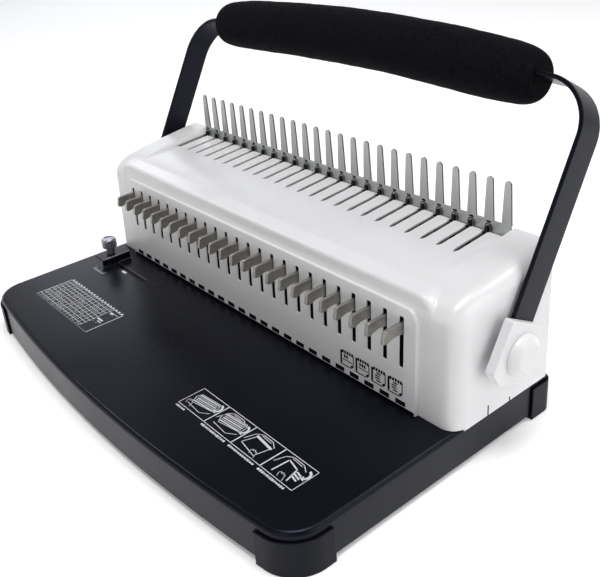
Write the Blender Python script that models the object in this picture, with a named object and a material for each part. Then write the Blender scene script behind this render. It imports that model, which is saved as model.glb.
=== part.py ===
"""Manual comb binding machine: punch, ring opener, paper deck and bail handle.

Working coordinates are millimetres from the foot of the front panel, at the
middle of the machine and level with the deck: +X to the right, +Y to the
back, +Z up. place() moves them to the model's origin, which is on the ground
under the middle of the whole machine, and scales them to metres.
"""
import bpy
import bmesh
from math import asin, cos, degrees, pi, radians, sin, sqrt, tan
from mathutils import Vector

MM = 0.001
PANEL_FOOT = Vector((0.0, -7.27, 31.0))  # the working origin, seen from the model's origin
GAP = 0.3                               # clearance between pieces that touch

# Comb pattern
PITCH = 14.2875                         # 9/16 inch, the standard comb pitch
SLOT_COUNT = 24
TINE_COUNT = 25
SLOT_X = [(i - (SLOT_COUNT - 1) / 2) * PITCH for i in range(SLOT_COUNT)]
HOOK_X = [(i - SLOT_COUNT / 2) * PITCH for i in range(SLOT_COUNT)]
TINE_X = [(i - (TINE_COUNT - 1) / 2) * PITCH for i in range(TINE_COUNT)]

# Base tray
HALF_WIDTH = 205.2
BASE_BACK = 100.0
BOW_FRONT = -140.3                      # front edge at the middle
BOW_RADIUS = 1400.0
FRONT_CORNER = 25.0
BACK_CORNER = 6.0
SKIRT_BOTTOM = -27.5
SHEET = 1.2
RIM_RADIUS = 3.5
GUIDE_SLOT = ((-196.0, -26.0), (-118.0, -20.6))  # x, y corners
SCREW_AT = (-178.0, -23.3)              # thumb screw of the edge guide
SCREW_RADIUS = 2.0

# Feet
FOOT_PROUD = 1.8                        # how far a foot stands out from the skirt
FOOT_BOTTOM = -31.0
FOOT_TOP = -6.0

# Casing
CASING_HALF = 206.8
CASING_BACK = 98.0
CASING_CORNER = 10.0                    # rounding of the ends, front and top
CASING_BACK_CORNER = 3.0
CASING_WALL = 2.5
FRONT_FOOT_Y = 1.1
FRONT_LEAN = tan(radians(2.5))
TOP_FRONT = (27.0, 88.7)                # y, z where the flat top starts
TOP_SLOPE = 0.132
WELL_SLOPE = 0.045                      # the sunk middle rises less
WELL_HALF = 172.0                       # half width of the sunk middle of the top
FRONT_SLOT = (32.0, 67.5)               # z range of the 24 front slots
FRONT_SLOT_WIDTH = 3.6
TOP_SLOT_FRONT = 59.0
TOP_SLOT_WIDTH = 2.9
RIB_END = 90.5
HOOK_GAP_HALF = 176.0
LUG_X = (170.0, 174.0)                  # the lugs that the opener levers' pins push
TINE_HALF = 175.0

# Chip drawer, in the left side
DRAWER = ((-205.2, -1.7, -25.7), (182.0, 45.7, -6.3))
DRAWER_WALL = 2.0
RAIL_THICK = 3.2

# Handle
SHAFT_Y, SHAFT_Z = 50.3, 42.1
SHAFT_RADIUS = 6.0
HANDLE_TILT = radians(28.7)             # lean to the back at rest
ARM_OUTER = 211.6                       # half width over the two arms
BAR_THICK = 3.0
BAR_WIDE = 22.0
BAR_RISE = 168.0                        # shaft to the outer face of the cross bar
BEND_RADIUS = 34.0                      # outer radius of each bend
BAR_ARCH = 6.0                          # rise of the cross bar at the middle
GRIP_MIDDLE = -6.5
GRIP_HALF = 174.5
GRIP_PROFILE = ((0.0, 12.2), (3.0, 13.2), (7.0, 14.9), (14.0, 17.3), (26.0, 18.9), (52.0, 20.5),
                (80.0, 21.4), (120.0, 21.6), (GRIP_HALF, 21.7))  # distance from an end, radius
HUB_INNER = ARM_OUTER + GAP
HUB_OUTER = 218.5

# Motion
PUNCH_STROKE = 20.0
HANDLE_SWING = radians(80.0)
CAM_RATE = PUNCH_STROKE / HANDLE_SWING  # beam travel per radian
CAM_BASE = 12.0
LEVER_RADIUS = 20.2
LEVER_ANGLE = radians(40.0)             # lever leans this far back at rest
LEVER_HALF_WIDTH = 6.0
LEVER_X = (175.0, 179.0)
CAM_X = (186.0, 191.0)
FRAME_X = (193.0, 196.0)

# Punch
PIN_Y = 14.0
PIN_SIZE = (8.0, 3.0)
PIN_TIP = 16.0
BEAM_Y = (8.0, 26.0)
BEAM_Z = (50.0, 70.0)
BEAM_HALF = 180.0
DIE_BAR = ((-184.2, 6.0, -5.0), (184.2, 30.0, 0.0))
GUIDE_BAR = ((-178.0, 6.0, 3.2), (178.0, 28.0, 22.4))
PIN_HOLDER = ((-176.0, 10.5, 44.0), (176.0, 17.5, BEAM_Z[0] - GAP))
DIE_CLEARANCE = 0.25
GUIDE_CLEARANCE = 0.35
LEG_X = (BEAM_HALF - 1.0, 185.0)        # follower legs, and the pads on them
PAD_X = (184.0, 190.5)
SPRING_AT = (150.0, 22.0)               # x to each side, y
SPRING_RADIUS = 2.7
SPRING_WIRE = 0.45
SPRING_TURNS = 8
TAB_THICK = 2.7

MATERIALS = {
    "black_steel": ((0.018, 0.018, 0.020), 0.45, 0.0),
    "white_plastic": ((0.78, 0.78, 0.79), 0.42, 0.0),
    "black_plastic": ((0.015, 0.015, 0.016), 0.5, 0.0),
    "foam": ((0.006, 0.006, 0.007), 0.95, 0.0),
    "tool_steel": ((0.42, 0.42, 0.41), 0.35, 1.0),
    "zinc_steel": ((0.55, 0.56, 0.55), 0.4, 1.0),
    "tab_steel": ((0.36, 0.34, 0.30), 0.42, 1.0),
    "bright_steel": ((0.6, 0.6, 0.62), 0.25, 1.0),
    "clear_smoke": ((0.05, 0.05, 0.055), 0.4, 0.0),
    "bronze": ((0.45, 0.30, 0.14), 0.4, 1.0),
}


def clear_scene():
    for old in list(bpy.data.objects):
        bpy.data.objects.remove(old, do_unlink=True)


def material(name):
    found = bpy.data.materials.get(name)
    if found:
        return found
    colour, roughness, metallic = MATERIALS[name]
    made = bpy.data.materials.new(name)
    made.use_nodes = True
    shader = made.node_tree.nodes["Principled BSDF"]
    shader.inputs["Base Color"].default_value = (*colour, 1.0)
    shader.inputs["Roughness"].default_value = roughness
    shader.inputs["Metallic"].default_value = metallic
    made.diffuse_color = (*colour, 1.0)
    return made


def place(point):
    """Working millimetres to model metres."""
    return (Vector(point) + PANEL_FOOT) * MM


def put(name, bm, surface, origin=(0.0, 0.0, 0.0), smooth=False):
    """Turn a bmesh into a named object whose origin is at the given point."""
    bmesh.ops.recalc_face_normals(bm, faces=bm.faces)
    corner = Vector(origin)
    for vert in bm.verts:
        vert.co = (vert.co - corner) * MM
    mesh = bpy.data.meshes.new(name)
    bm.to_mesh(mesh)
    bm.free()
    mesh.materials.append(material(surface))
    if smooth:
        mesh.shade_smooth()
        mesh.set_sharp_from_angle(angle=radians(35.0))
    piece = bpy.data.objects.new(name, mesh)
    piece.location = place(origin)
    bpy.context.collection.objects.link(piece)
    return piece


def combine(piece, bm, operation, label):
    """Apply a hidden helper solid, given in working millimetres, to a piece."""
    helper = put(f"{piece.name}.{label}", bm, "black_plastic")
    helper.hide_render = True
    helper.display_type = "WIRE"
    boolean = piece.modifiers.new(label, "BOOLEAN")
    boolean.operation = operation
    boolean.object = helper
    boolean.solver = "EXACT"


def cut(piece, bm, label="cut"):
    combine(piece, bm, "DIFFERENCE", label)


def fuse(piece, bm, label="fuse"):
    combine(piece, bm, "UNION", label)


# --- outlines -----------------------------------------------------------------

def arc(centre, radius, start, end, steps):
    """Points on an arc, angles in degrees, both ends included."""
    points = []
    for step in range(steps + 1):
        angle = radians(start + (end - start) * step / steps)
        points.append((centre[0] + radius * cos(angle), centre[1] + radius * sin(angle)))
    return points


def circle(centre, radius, steps):
    return arc(centre, radius, 0.0, 360.0, steps)[:-1]


def rectangle(lo, hi):
    return [(lo[0], lo[1]), (hi[0], lo[1]), (hi[0], hi[1]), (lo[0], hi[1])]


def rounded_rectangle(lo, hi, radius, steps=4):
    left, low = lo[0] + radius, lo[1] + radius
    right, high = hi[0] - radius, hi[1] - radius
    return (arc((right, low), radius, -90, 0, steps) + arc((right, high), radius, 0, 90, steps)
            + arc((left, high), radius, 90, 180, steps) + arc((left, low), radius, 180, 270, steps))


def base_outline(grow=0.0):
    """Plan of the base: straight sides and back, bowed front, round corners."""
    corner_x = HALF_WIDTH - FRONT_CORNER
    centre_y = BOW_FRONT + BOW_RADIUS
    corner_y = centre_y - sqrt((BOW_RADIUS - FRONT_CORNER) ** 2 - corner_x ** 2)
    spread = degrees(asin(corner_x / (BOW_RADIUS - FRONT_CORNER)))
    points = arc((0.0, centre_y), BOW_RADIUS + grow, 270 - spread, 270 + spread, 14)
    points += arc((corner_x, corner_y), FRONT_CORNER + grow, 270 + spread, 360, 7)
    back_x, back_y = HALF_WIDTH - BACK_CORNER, BASE_BACK - BACK_CORNER
    points += arc((back_x, back_y), BACK_CORNER + grow, 0, 90, 4)
    points += arc((-back_x, back_y), BACK_CORNER + grow, 90, 180, 4)
    points += arc((-corner_x, corner_y), FRONT_CORNER + grow, 180, 270 - spread, 7)[:-1]
    return points


def casing_profile(inset, slope=TOP_SLOPE):
    """Side view of the casing as (y, z), moved inwards by inset except at the foot."""
    foot_y = FRONT_FOOT_Y + inset
    start_z = 72.0 - inset
    start = (foot_y + start_z * FRONT_LEAN, start_z)
    end_y = 40.0 + inset
    end = (end_y, TOP_FRONT[1] + (end_y - TOP_FRONT[0]) * slope - inset)
    knee_z = (TOP_FRONT[1] - inset + (foot_y - TOP_FRONT[0]) * slope) / (1 - FRONT_LEAN * slope)
    knee = (foot_y + knee_z * FRONT_LEAN, knee_z)
    points = [(foot_y, GAP)]
    steps = 7
    for step in range(steps + 1):
        t = step / steps
        points.append(tuple(start[i] * (1 - t) ** 2 + 2 * knee[i] * t * (1 - t) + end[i] * t ** 2
                            for i in range(2)))
    back_y = CASING_BACK - min(inset, CASING_BACK_CORNER)
    back_z = TOP_FRONT[1] + (back_y - TOP_FRONT[0]) * slope - inset
    points.append((back_y - 2.0, back_z - 2.0 * slope))
    points.append((back_y, back_z - 2.0))
    points.append((back_y, GAP))
    return points


def both_sides(side, x_range):
    """A range of x on the right, or its mirror image on the left."""
    return sorted((side * x_range[0], side * x_range[1]))


# --- solids -------------------------------------------------------------------

def lift(axis, point, height):
    """A 2D outline point set at a height along the X, Y or Z axis."""
    if axis == "X":
        return Vector((height, point[0], point[1]))
    if axis == "Y":
        return Vector((point[0], height, point[1]))
    return Vector((point[0], point[1], height))


def loft(bm, rings):
    """Join rings of equal length into one closed body."""
    layers = [[bm.verts.new(point) for point in ring] for ring in rings]
    count = len(layers[0])
    for lower, upper in zip(layers, layers[1:]):
        for i in range(count):
            j = (i + 1) % count
            bm.faces.new((lower[i], lower[j], upper[j], upper[i]))
    bm.faces.new(layers[0])
    bm.faces.new(layers[-1])


def prism(outline, axis, lo, hi, bm=None):
    bm = bm or bmesh.new()
    loft(bm, [[lift(axis, point, height) for point in outline] for height in (lo, hi)])
    return bm


def block(lo, hi, bm=None):
    return prism(rectangle(lo[:2], hi[:2]), "Z", lo[2], hi[2], bm)


def turned(axis, centre, stations, steps=24, bm=None):
    """A round body from (position along the axis, radius) stations."""
    bm = bm or bmesh.new()
    loft(bm, [[lift(axis, point, height) for point in circle(centre, radius, steps)]
              for height, radius in stations])
    return bm


def arm_point(along, across):
    """(y, z) of a point given along the resting handle arm and across it to the back."""
    return (SHAFT_Y + along * sin(HANDLE_TILT) + across * cos(HANDLE_TILT),
            SHAFT_Z + along * cos(HANDLE_TILT) - across * sin(HANDLE_TILT))


# --- base ---------------------------------------------------------------------

def base_ring(grow, height):
    return [Vector((x, y, height)) for x, y in base_outline(grow)]


def make_base():
    """Pressed steel tray: outer skin, then the inner skin one sheet inside it."""
    bm = bmesh.new()
    rim_steps = 3
    outer = [base_ring(0.0, SKIRT_BOTTOM)]
    inner = [base_ring(-SHEET, SKIRT_BOTTOM)]
    for step in range(rim_steps + 1):
        turn = radians(90.0 * step / rim_steps)
        outer.append(base_ring(-RIM_RADIUS * (1 - cos(turn)), RIM_RADIUS * (sin(turn) - 1)))
        tight = RIM_RADIUS - SHEET
        inner.append(base_ring(-SHEET - tight * (1 - cos(turn)), tight * sin(turn) - RIM_RADIUS))
    loft(bm, list(reversed(inner)) + outer)
    base = put("base_plate", bm, "black_steel", smooth=True)
    die_low, die_high = Vector(DIE_BAR[0]), Vector(DIE_BAR[1])
    clearance = Vector((GAP, GAP, 4.0))
    openings = block(die_low - clearance, die_high + clearance)
    prism(rounded_rectangle(*GUIDE_SLOT, 2.5), "Z", -8, 4, openings)
    mouth_low = Vector(DRAWER[0]) - Vector((7.0, 0.4, 0.4))
    mouth_high = Vector((-198.0, DRAWER[1][1] + 0.4, DRAWER[1][2] + 0.4))
    block(mouth_low, mouth_high, openings)
    cut(base, openings)


def make_feet():
    """Corner caps that wrap the skirt and carry the machine."""
    for side, side_name in ((-1, "left"), (1, "right")):
        corners = {"front": ((177.0, -150.0), (215.0, -96.0)), "back": ((187.0, 82.0), (215.0, 110.0))}
        for place_name, (lo, hi) in corners.items():
            x_range = sorted((side * lo[0], side * hi[0]))
            wrap = prism(base_outline(FOOT_PROUD), "Z", FOOT_BOTTOM, FOOT_TOP)
            foot = put(f"foot_{place_name}_{side_name}", wrap, "black_plastic", smooth=True)
            keep = block((x_range[0], lo[1], -40), (x_range[1], hi[1], 0))
            combine(foot, keep, "INTERSECT", "corner")
            cut(foot, prism(base_outline(GAP), "Z", SKIRT_BOTTOM - GAP, 5), "skirt")


# --- casing -------------------------------------------------------------------

def casing_rings(inset, half, foot, slope=TOP_SLOPE):
    """Profiles from the left end to the right, rounding both ends."""
    radius = CASING_CORNER - inset
    steps = 4
    rings = []
    for side in (-1, 1):
        end = []
        for step in range(steps + 1):
            turn = radians(90.0 * step / steps)
            shrink = inset + radius * (1 - sin(turn))
            profile = [(y, foot if z <= GAP else z) for y, z in casing_profile(shrink, slope)]
            x = side * (half - radius * (1 - cos(turn)))
            end.append([Vector((x, y, z)) for y, z in profile])
        rings += end if side < 0 else list(reversed(end))
    return rings


def make_casing():
    bm = bmesh.new()
    loft(bm, casing_rings(0.0, CASING_HALF, GAP))
    casing = put("casing", bm, "white_plastic", smooth=True)
    fuse(casing, raised_panel(), "panel")
    fuse(casing, side_lips(), "lips")
    hollow = bmesh.new()
    loft(hollow, casing_rings(CASING_WALL, CASING_HALF - CASING_WALL, -5.0, WELL_SLOPE))
    cut(casing, hollow, "hollow")
    cut(casing, throat_and_well(), "well")
    cut(casing, slot_cutters(), "slots")
    cut(casing, block((-HOOK_GAP_HALF, RIB_END, 60), (HOOK_GAP_HALF, 110, 110)), "hook_gap")
    rear = block((-192, 92, -4), (192, 110, 88))
    turned("X", (SHAFT_Y, SHAFT_Z), [(-215, 8.0), (215, 8.0)], 20, rear)
    cut(casing, rear, "rear")


def raised_panel():
    """The flat front panel, standing a little proud of the casing and parallel to it."""
    outline = [(-177, 3.0), (177, 3.0), (177, 67), (169, 75), (-169, 75), (-177, 67)]
    bm = bmesh.new()
    loft(bm, [[Vector((x, z * FRONT_LEAN + y, z)) for x, z in outline] for y in (0.0, 3.0)])
    return bm


def side_lips():
    """Thin lips along the foot of both ends, hanging just outside the base's rim."""
    bm = bmesh.new()
    for side in (-1, 1):
        inner, outer = sorted((side * (HALF_WIDTH + GAP), side * CASING_HALF))
        block((inner, 12.0, -1.2), (outer, 94.5, 3.0), bm)
    return bm


def throat_and_well():
    """The paper throat under the front panel and the sunk middle of the top."""
    bm = block((-182, -5, -2), (182, 6, 3.0))
    well = [(26, 88.5), (59, 89.1), (110, 93.0), (110, 120), (26, 120)]
    return prism(well, "X", -WELL_HALF, WELL_HALF, bm)


def slot_cutters():
    """The front slots for the tabs and the top slots for the hooks."""
    bm = bmesh.new()
    half = FRONT_SLOT_WIDTH / 2
    for x in SLOT_X:
        block((x - half, -6, FRONT_SLOT[0]), (x + half, 12, FRONT_SLOT[1]), bm)
    half = TOP_SLOT_WIDTH / 2
    for x in HOOK_X:
        block((x - half, TOP_SLOT_FRONT, 78), (x + half, RIB_END + 2, 100), bm)
    return bm


def make_rear_panel():
    bm = block((-191.5, 95.7, GAP), (191.5, 97.9, 87.7))
    put("rear_panel", bm, "white_plastic")


def shaft_bore(start, end):
    """A cutter a little larger than the shaft, between two places along it."""
    return turned("X", (SHAFT_Y, SHAFT_Z), [(start, SHAFT_RADIUS + GAP), (end, SHAFT_RADIUS + GAP)])


# --- frame and bearings -------------------------------------------------------

def make_frames():
    outline = [(6, GAP), (92, GAP), (92, 74), (84, 80), (30, 80), (14, 72), (8, 60)]
    for side, name in ((-1, "left"), (1, "right")):
        inner, outer = both_sides(side, FRAME_X)
        frame = put(f"side_frame_{name}", prism(outline, "X", inner, outer), "zinc_steel")
        hole = turned("X", (SHAFT_Y, SHAFT_Z), [(inner - 1, 9.3), (outer + 1, 9.3)], 24)
        cut(frame, hole, "bearing_hole")
        shoulder = FRAME_X[1] + 0.4
        stations = [(FRAME_X[0] - 1, 9.0), (shoulder, 9.0), (shoulder, 12.0), (FRAME_X[1] + 3, 12.0)]
        bush = turned("X", (SHAFT_Y, SHAFT_Z), [(side * x, radius) for x, radius in stations])
        bushing = put(f"bushing_{name}", bush, "bronze", smooth=True)
        cut(bushing, shaft_bore(side * 190.0, side * 201.0), "bore")


# --- punch --------------------------------------------------------------------

def pin_boxes(clearance, low, high):
    bm = bmesh.new()
    half_x, half_y = PIN_SIZE[0] / 2 + clearance, PIN_SIZE[1] / 2 + clearance
    for x in SLOT_X:
        block((x - half_x, PIN_Y - half_y, low), (x + half_x, PIN_Y + half_y, high), bm)
    return bm


def make_punch():
    die = put("die_bar", block(*DIE_BAR), "tool_steel")
    cut(die, pin_boxes(DIE_CLEARANCE, -10, 10), "holes")
    guide = put("guide_bar", block(*GUIDE_BAR), "tool_steel")
    cut(guide, pin_boxes(GUIDE_CLEARANCE, 0, 30), "holes")
    beam_origin = (0.0, PIN_Y, BEAM_Z[0])
    pins = put("punch_pins", block(*PIN_HOLDER), "tool_steel", beam_origin)
    fuse(pins, pin_boxes(0.0, PIN_TIP, 46), "pins")
    low, high = BEAM_Z
    beam = put("punch_beam", block((-BEAM_HALF, BEAM_Y[0], low), (BEAM_HALF, BEAM_Y[1], high)),
               "zinc_steel", beam_origin)
    slots = bmesh.new()
    for x in SLOT_X:
        block((x - TAB_THICK / 2 - GAP, 0, 55.2), (x + TAB_THICK / 2 + GAP, 21, 64.0), slots)
    cut(beam, slots, "tab_slots")
    # Follower legs under the cams
    leg = [(10, 69), (10, 46), (20, 24), (43, 24), (43, 29), (25, 29), (25, 69)]
    pad = [(30, 23.5), (44, 23.5), (44, 30 - GAP), (30, 30 - GAP)]
    legs, pads = bmesh.new(), bmesh.new()
    for side in (-1, 1):
        prism(leg, "X", *both_sides(side, LEG_X), legs)
        prism(pad, "X", *both_sides(side, PAD_X), pads)
    fuse(beam, legs, "legs")
    fuse(beam, pads, "pads")


def make_tabs():
    """Flat pull tabs, one per punch pin; each slides out of the front."""
    tab_outline = [(20, 55.5), (20, 63.7), (-10.5, 63.7), (-12.6, 63.0), (-13.4, 61.6), (-14.4, 55.8),
                   (-13.6, 54.6), (-10.4, 54.4), (-8.2, 55.3), (-6.0, 56.2), (-1.5, 56.4), (1.5, 55.5)]
    for index, x in enumerate(SLOT_X):
        origin = (x, 0.0, 59.6)
        bm = prism(tab_outline, "X", x - TAB_THICK / 2, x + TAB_THICK / 2)
        put(f"release_tab_{index + 1:02d}", bm, "tab_steel", origin)


def make_springs():
    """Compression springs that lift the beam off the guide bar again."""
    seat = GUIDE_BAR[1][2]
    low = seat + GAP + SPRING_WIRE
    high = BEAM_Z[0] - GAP - SPRING_WIRE
    steps = 12
    for side, name in ((-1, "left"), (1, "right")):
        centre = Vector((side * SPRING_AT[0], SPRING_AT[1], 0.0))
        rings = []
        for step in range(SPRING_TURNS * steps + 1):
            turn = radians(360.0 * step / steps)
            outward = Vector((cos(turn), sin(turn), 0.0))
            rise = (high - low) * step / (SPRING_TURNS * steps)
            middle = centre + outward * SPRING_RADIUS + Vector((0.0, 0.0, low + rise))
            along = Vector((-sin(turn), cos(turn), (high - low) / (SPRING_TURNS * 2 * pi * SPRING_RADIUS)))
            square = along.normalized().cross(outward)
            rings.append([middle + outward * x + square * y for x, y in circle((0, 0), SPRING_WIRE, 6)])
        bm = bmesh.new()
        loft(bm, rings)
        put(f"return_spring_{name}", bm, "bright_steel", (centre.x, centre.y, seat), smooth=True)


# --- ring opener --------------------------------------------------------------

def make_tines():
    half_root, half_tip = 3.4, 2.4
    root, tip, strip = 99.0, 129.7, 30.0
    top = []
    for x in reversed(TINE_X):
        top.append((x + half_root, root))
        top += arc((x, tip - half_tip), half_tip, 0, 180, 4)
        top.append((x - half_root, root))
    shoulder = root - 0.5
    outline = [(-TINE_HALF, strip), (TINE_HALF, strip), (TINE_HALF, shoulder)] + top
    outline.append((-TINE_HALF, shoulder))
    plate = put("tine_plate", prism(outline, "Y", 94.0, 95.4), "zinc_steel")
    holes = bmesh.new()
    for x in HOOK_X:
        block((x - 2.2, 90, 94.8), (x + 2.2, 99, 97.8), holes)
    cut(plate, holes, "hook_windows")


def make_hooks():
    origin = (0.0, 88.0, 66.0)
    plate = put("hook_plate", block((-176, 84, 62), (176, 91, 66)), "zinc_steel", origin)
    hook = [(86.5, 64), (90.5, 64), (90.5, 94.5), (92.0, 96.0), (92.0, 98.0), (88.0, 98.0), (86.5, 95.5)]
    hooks = bmesh.new()
    for x in HOOK_X:
        prism(hook, "X", x - 0.9, x + 0.9, hooks)
    fuse(plate, hooks, "hooks")
    pin_y = SHAFT_Y + LEVER_RADIUS * sin(LEVER_ANGLE)
    lug = [(88, 63), (88, 71), (56, 71), (56, 53), (pin_y - 4, 53), (pin_y - 4, 67),
           (pin_y + 4, 67), (pin_y + 4, 53), (74, 53), (80, 63)]
    lugs = bmesh.new()
    for side in (-1, 1):
        prism(lug, "X", *both_sides(side, LUG_X), lugs)
    fuse(plate, lugs, "lugs")


# --- handle -------------------------------------------------------------------

def cam_outline():
    """Flat-faced-follower cam: its support distance grows evenly with the handle's turn."""
    points = []
    steps = 10
    for step in range(steps + 1):
        turn = HANDLE_SWING * step / steps
        reach = CAM_BASE + CAM_RATE * turn
        points.append((SHAFT_Y - reach * sin(turn) - CAM_RATE * cos(turn),
                       SHAFT_Z - reach * cos(turn) + CAM_RATE * sin(turn)))
    points += arc((SHAFT_Y, SHAFT_Z), CAM_BASE, 60, -90, 8)
    return points


def make_shaft():
    axis_origin = (0.0, SHAFT_Y, SHAFT_Z)
    shaft = turned("X", (SHAFT_Y, SHAFT_Z), [(-215, SHAFT_RADIUS), (215, SHAFT_RADIUS)])
    put("main_shaft", shaft, "tool_steel", axis_origin, smooth=True)
    pin_y = SHAFT_Y + LEVER_RADIUS * sin(LEVER_ANGLE)
    pin_z = SHAFT_Z + LEVER_RADIUS * cos(LEVER_ANGLE)
    for side, name in ((-1, "left"), (1, "right")):
        cam = put(f"cam_{name}", prism(cam_outline(), "X", *both_sides(side, CAM_X)),
                  "tool_steel", axis_origin)
        cut(cam, shaft_bore(side * 184.0, side * 193.0), "bore")
        arm = prism(lever_outline(pin_y, pin_z), "X", *both_sides(side, LEVER_X))
        lever = put(f"opener_lever_{name}", arm, "zinc_steel", axis_origin)
        cut(lever, shaft_bore(side * 173.0, side * 181.0), "bore")
        fuse(lever, turned("X", (pin_y, pin_z), [(side * 169.0, 3.0), (side * 176.0, 3.0)], 12), "pin")


def lever_outline(pin_y, pin_z):
    """An arm from the shaft to the pin, wide at the shaft."""
    across = Vector((cos(LEVER_ANGLE), -sin(LEVER_ANGLE))) * LEVER_HALF_WIDTH
    wide = across * 1.6
    return [(SHAFT_Y - wide.x, SHAFT_Z - wide.y), (SHAFT_Y - 7, SHAFT_Z - 7), (SHAFT_Y + 7, SHAFT_Z - 8),
            (SHAFT_Y + wide.x, SHAFT_Z + wide.y), (pin_y + across.x, pin_z + across.y),
            (pin_y + 3, pin_z + 5), (pin_y - across.x, pin_z - across.y)]


def bar_path():
    """(x, rise) along the middle of the bent bar, from one arm's end to the other's."""
    middle = ARM_OUTER - BAR_THICK / 2
    radius = BEND_RADIUS - BAR_THICK / 2
    top = BAR_RISE - BAR_THICK / 2
    path = [(middle, -11.0)]
    path += arc((middle - radius, top - radius), radius, 0, 90, 8)
    half = middle - radius
    steps = 10
    for step in range(1, steps):
        x = half * (1 - 2 * step / steps)
        path.append((x, top + BAR_ARCH * (1 - (x / half) ** 2)))
    path += arc((radius - middle, top - radius), radius, 90, 180, 8)
    path.append((-middle, -11.0))
    return path


def bar_rings(thick, wide, path):
    """Rectangular sections square to the path, in the tilted plane of the handle."""
    rings = []
    for index, (x, rise) in enumerate(path):
        before = Vector(path[max(index - 1, 0)])
        after = Vector(path[min(index + 1, len(path) - 1)])
        run = (after - before).normalized()
        side = Vector((run.y, -run.x)) * thick / 2
        ring = []
        for sign, across in ((1, -1), (1, 1), (-1, 1), (-1, -1)):
            y, z = arm_point(rise + sign * side.y, across * wide / 2)
            ring.append(Vector((x + sign * side.x, y, z)))
        rings.append(ring)
    return rings


def grip_rings():
    """Round sections of the foam grip, swollen in the middle, along the arched bar."""
    ends = [(GRIP_MIDDLE - GRIP_HALF + inside, radius) for inside, radius in GRIP_PROFILE]
    ends += [(2 * GRIP_MIDDLE - x, radius) for x, radius in reversed(ends[:-1])]
    half_bar = ARM_OUTER - BEND_RADIUS
    rings = []
    for x, radius in ends:
        rise = BAR_RISE - BAR_THICK / 2 + BAR_ARCH * max(1 - (x / half_bar) ** 2, 0.0)
        centre = arm_point(rise, 0.0)
        rings.append([Vector((x, y, z)) for y, z in circle(centre, radius, 20)])
    return rings


def make_handle():
    axis_origin = (0.0, SHAFT_Y, SHAFT_Z)
    bm = bmesh.new()
    loft(bm, bar_rings(BAR_THICK, BAR_WIDE, bar_path()))
    bar = put("handle_bar", bm, "black_steel", axis_origin, smooth=True)
    cut(bar, shaft_bore(-215, 215), "shaft_holes")
    bm = bmesh.new()
    loft(bm, grip_rings())
    grip = put("grip", bm, "foam", axis_origin, smooth=True)
    channel = bmesh.new()
    loft(channel, bar_rings(BAR_THICK + 2 * GAP, BAR_WIDE + 2 * GAP, bar_path()))
    cut(grip, channel, "bar_channel")


def make_hubs():
    axis_origin = (0.0, SHAFT_Y, SHAFT_Z)
    corners = [(20, -21), (20, 15), (-21, 15), (-21, -12), (-15, -22)]
    outline = [arm_point(along, across) for along, across in corners]
    for side, name in ((-1, "left"), (1, "right")):
        hub = put(f"hub_{name}", prism(outline, "X", *both_sides(side, (HUB_INNER, HUB_OUTER))),
                  "white_plastic", axis_origin)
        cut(hub, shaft_bore(side * 209.0, side * 215.6), "socket")
        stations = [(HUB_OUTER + GAP, 14.3), (HUB_OUTER + 1.6, 13.8), (HUB_OUTER + 3.6, 10.4),
                    (HUB_OUTER + 4.5, 8.3)]
        cap = turned("X", (SHAFT_Y, SHAFT_Z), [(side * x, radius) for x, radius in stations], 28)
        put(f"hub_cap_{name}", cap, "white_plastic", axis_origin, smooth=True)


# --- accessories --------------------------------------------------------------

def make_drawer():
    low, high = DRAWER
    inside_low = (low[0] + DRAWER_WALL, low[1] + DRAWER_WALL, low[2] + 1.5)
    inside_high = (high[0] - DRAWER_WALL, high[1] - DRAWER_WALL, 0.0)
    drawer = put("chip_drawer", block(low, high), "black_plastic", (low[0], 22.0, -16.0))
    cut(drawer, block(inside_low, inside_high), "hollow")
    for name, front in (("front", low[1] - RAIL_THICK - 0.7), ("back", high[1] + 0.7)):
        rail = block((-198, front, SKIRT_BOTTOM + 0.4), (184, front + RAIL_THICK, -1.6))
        put(f"drawer_rail_{name}", rail, "zinc_steel")


def make_edge_guide():
    """An angle that stops the paper's edge, clamped through the slot by a thumb screw."""
    screw_x, screw_y = SCREW_AT
    origin = (screw_x, screw_y, 0.0)
    angle = [(-171.0, GAP), (-171.0, 7.5), (-185.0, 7.5), (-185.0, 6.3), (-172.2, 6.3), (-172.2, GAP)]
    bracket = put("guide_bracket", prism(angle, "Y", -36.0, -8.0), "black_steel", origin)
    hole = SCREW_RADIUS + 0.4
    cut(bracket, turned("Z", SCREW_AT, [(-2, hole), (12, hole)], 16), "screw_hole")
    profile = [(-8.0, SCREW_RADIUS), (7.8, SCREW_RADIUS), (7.8, 3.75), (14.4, 3.75), (14.4, 6.3),
               (15.0, 6.75), (22.0, 6.75), (23.0, 5.9)]
    put("thumb_screw", turned("Z", SCREW_AT, profile, 24), "bright_steel", origin, smooth=True)
    nut_low, nut_high = (screw_x - 6, screw_y - 4.5, -5.2), (screw_x + 6, screw_y + 4.5, -1.6)
    nut = put("clamp_nut", block(nut_low, nut_high), "zinc_steel", origin)
    cut(nut, turned("Z", SCREW_AT, [(-8, SCREW_RADIUS + GAP), (2, SCREW_RADIUS + GAP)], 16), "thread")


def main():
    clear_scene()
    make_base()
    make_feet()
    make_casing()
    make_rear_panel()
    make_frames()
    make_punch()
    make_tabs()
    make_springs()
    make_tines()
    make_hooks()
    make_shaft()
    make_handle()
    make_hubs()
    make_drawer()
    make_edge_guide()


main()
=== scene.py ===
"""The looks of a manual comb binding machine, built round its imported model.

Points are millimetres from the foot of the front panel, at the middle of the
machine and level with the deck: +X to the right, +Y to the back, +Z up.
"""

from math import asin, cos, degrees, pi, radians, sin, sqrt, tan

import bmesh
import bpy
import numpy as np
from mathutils import Matrix, Vector


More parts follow.
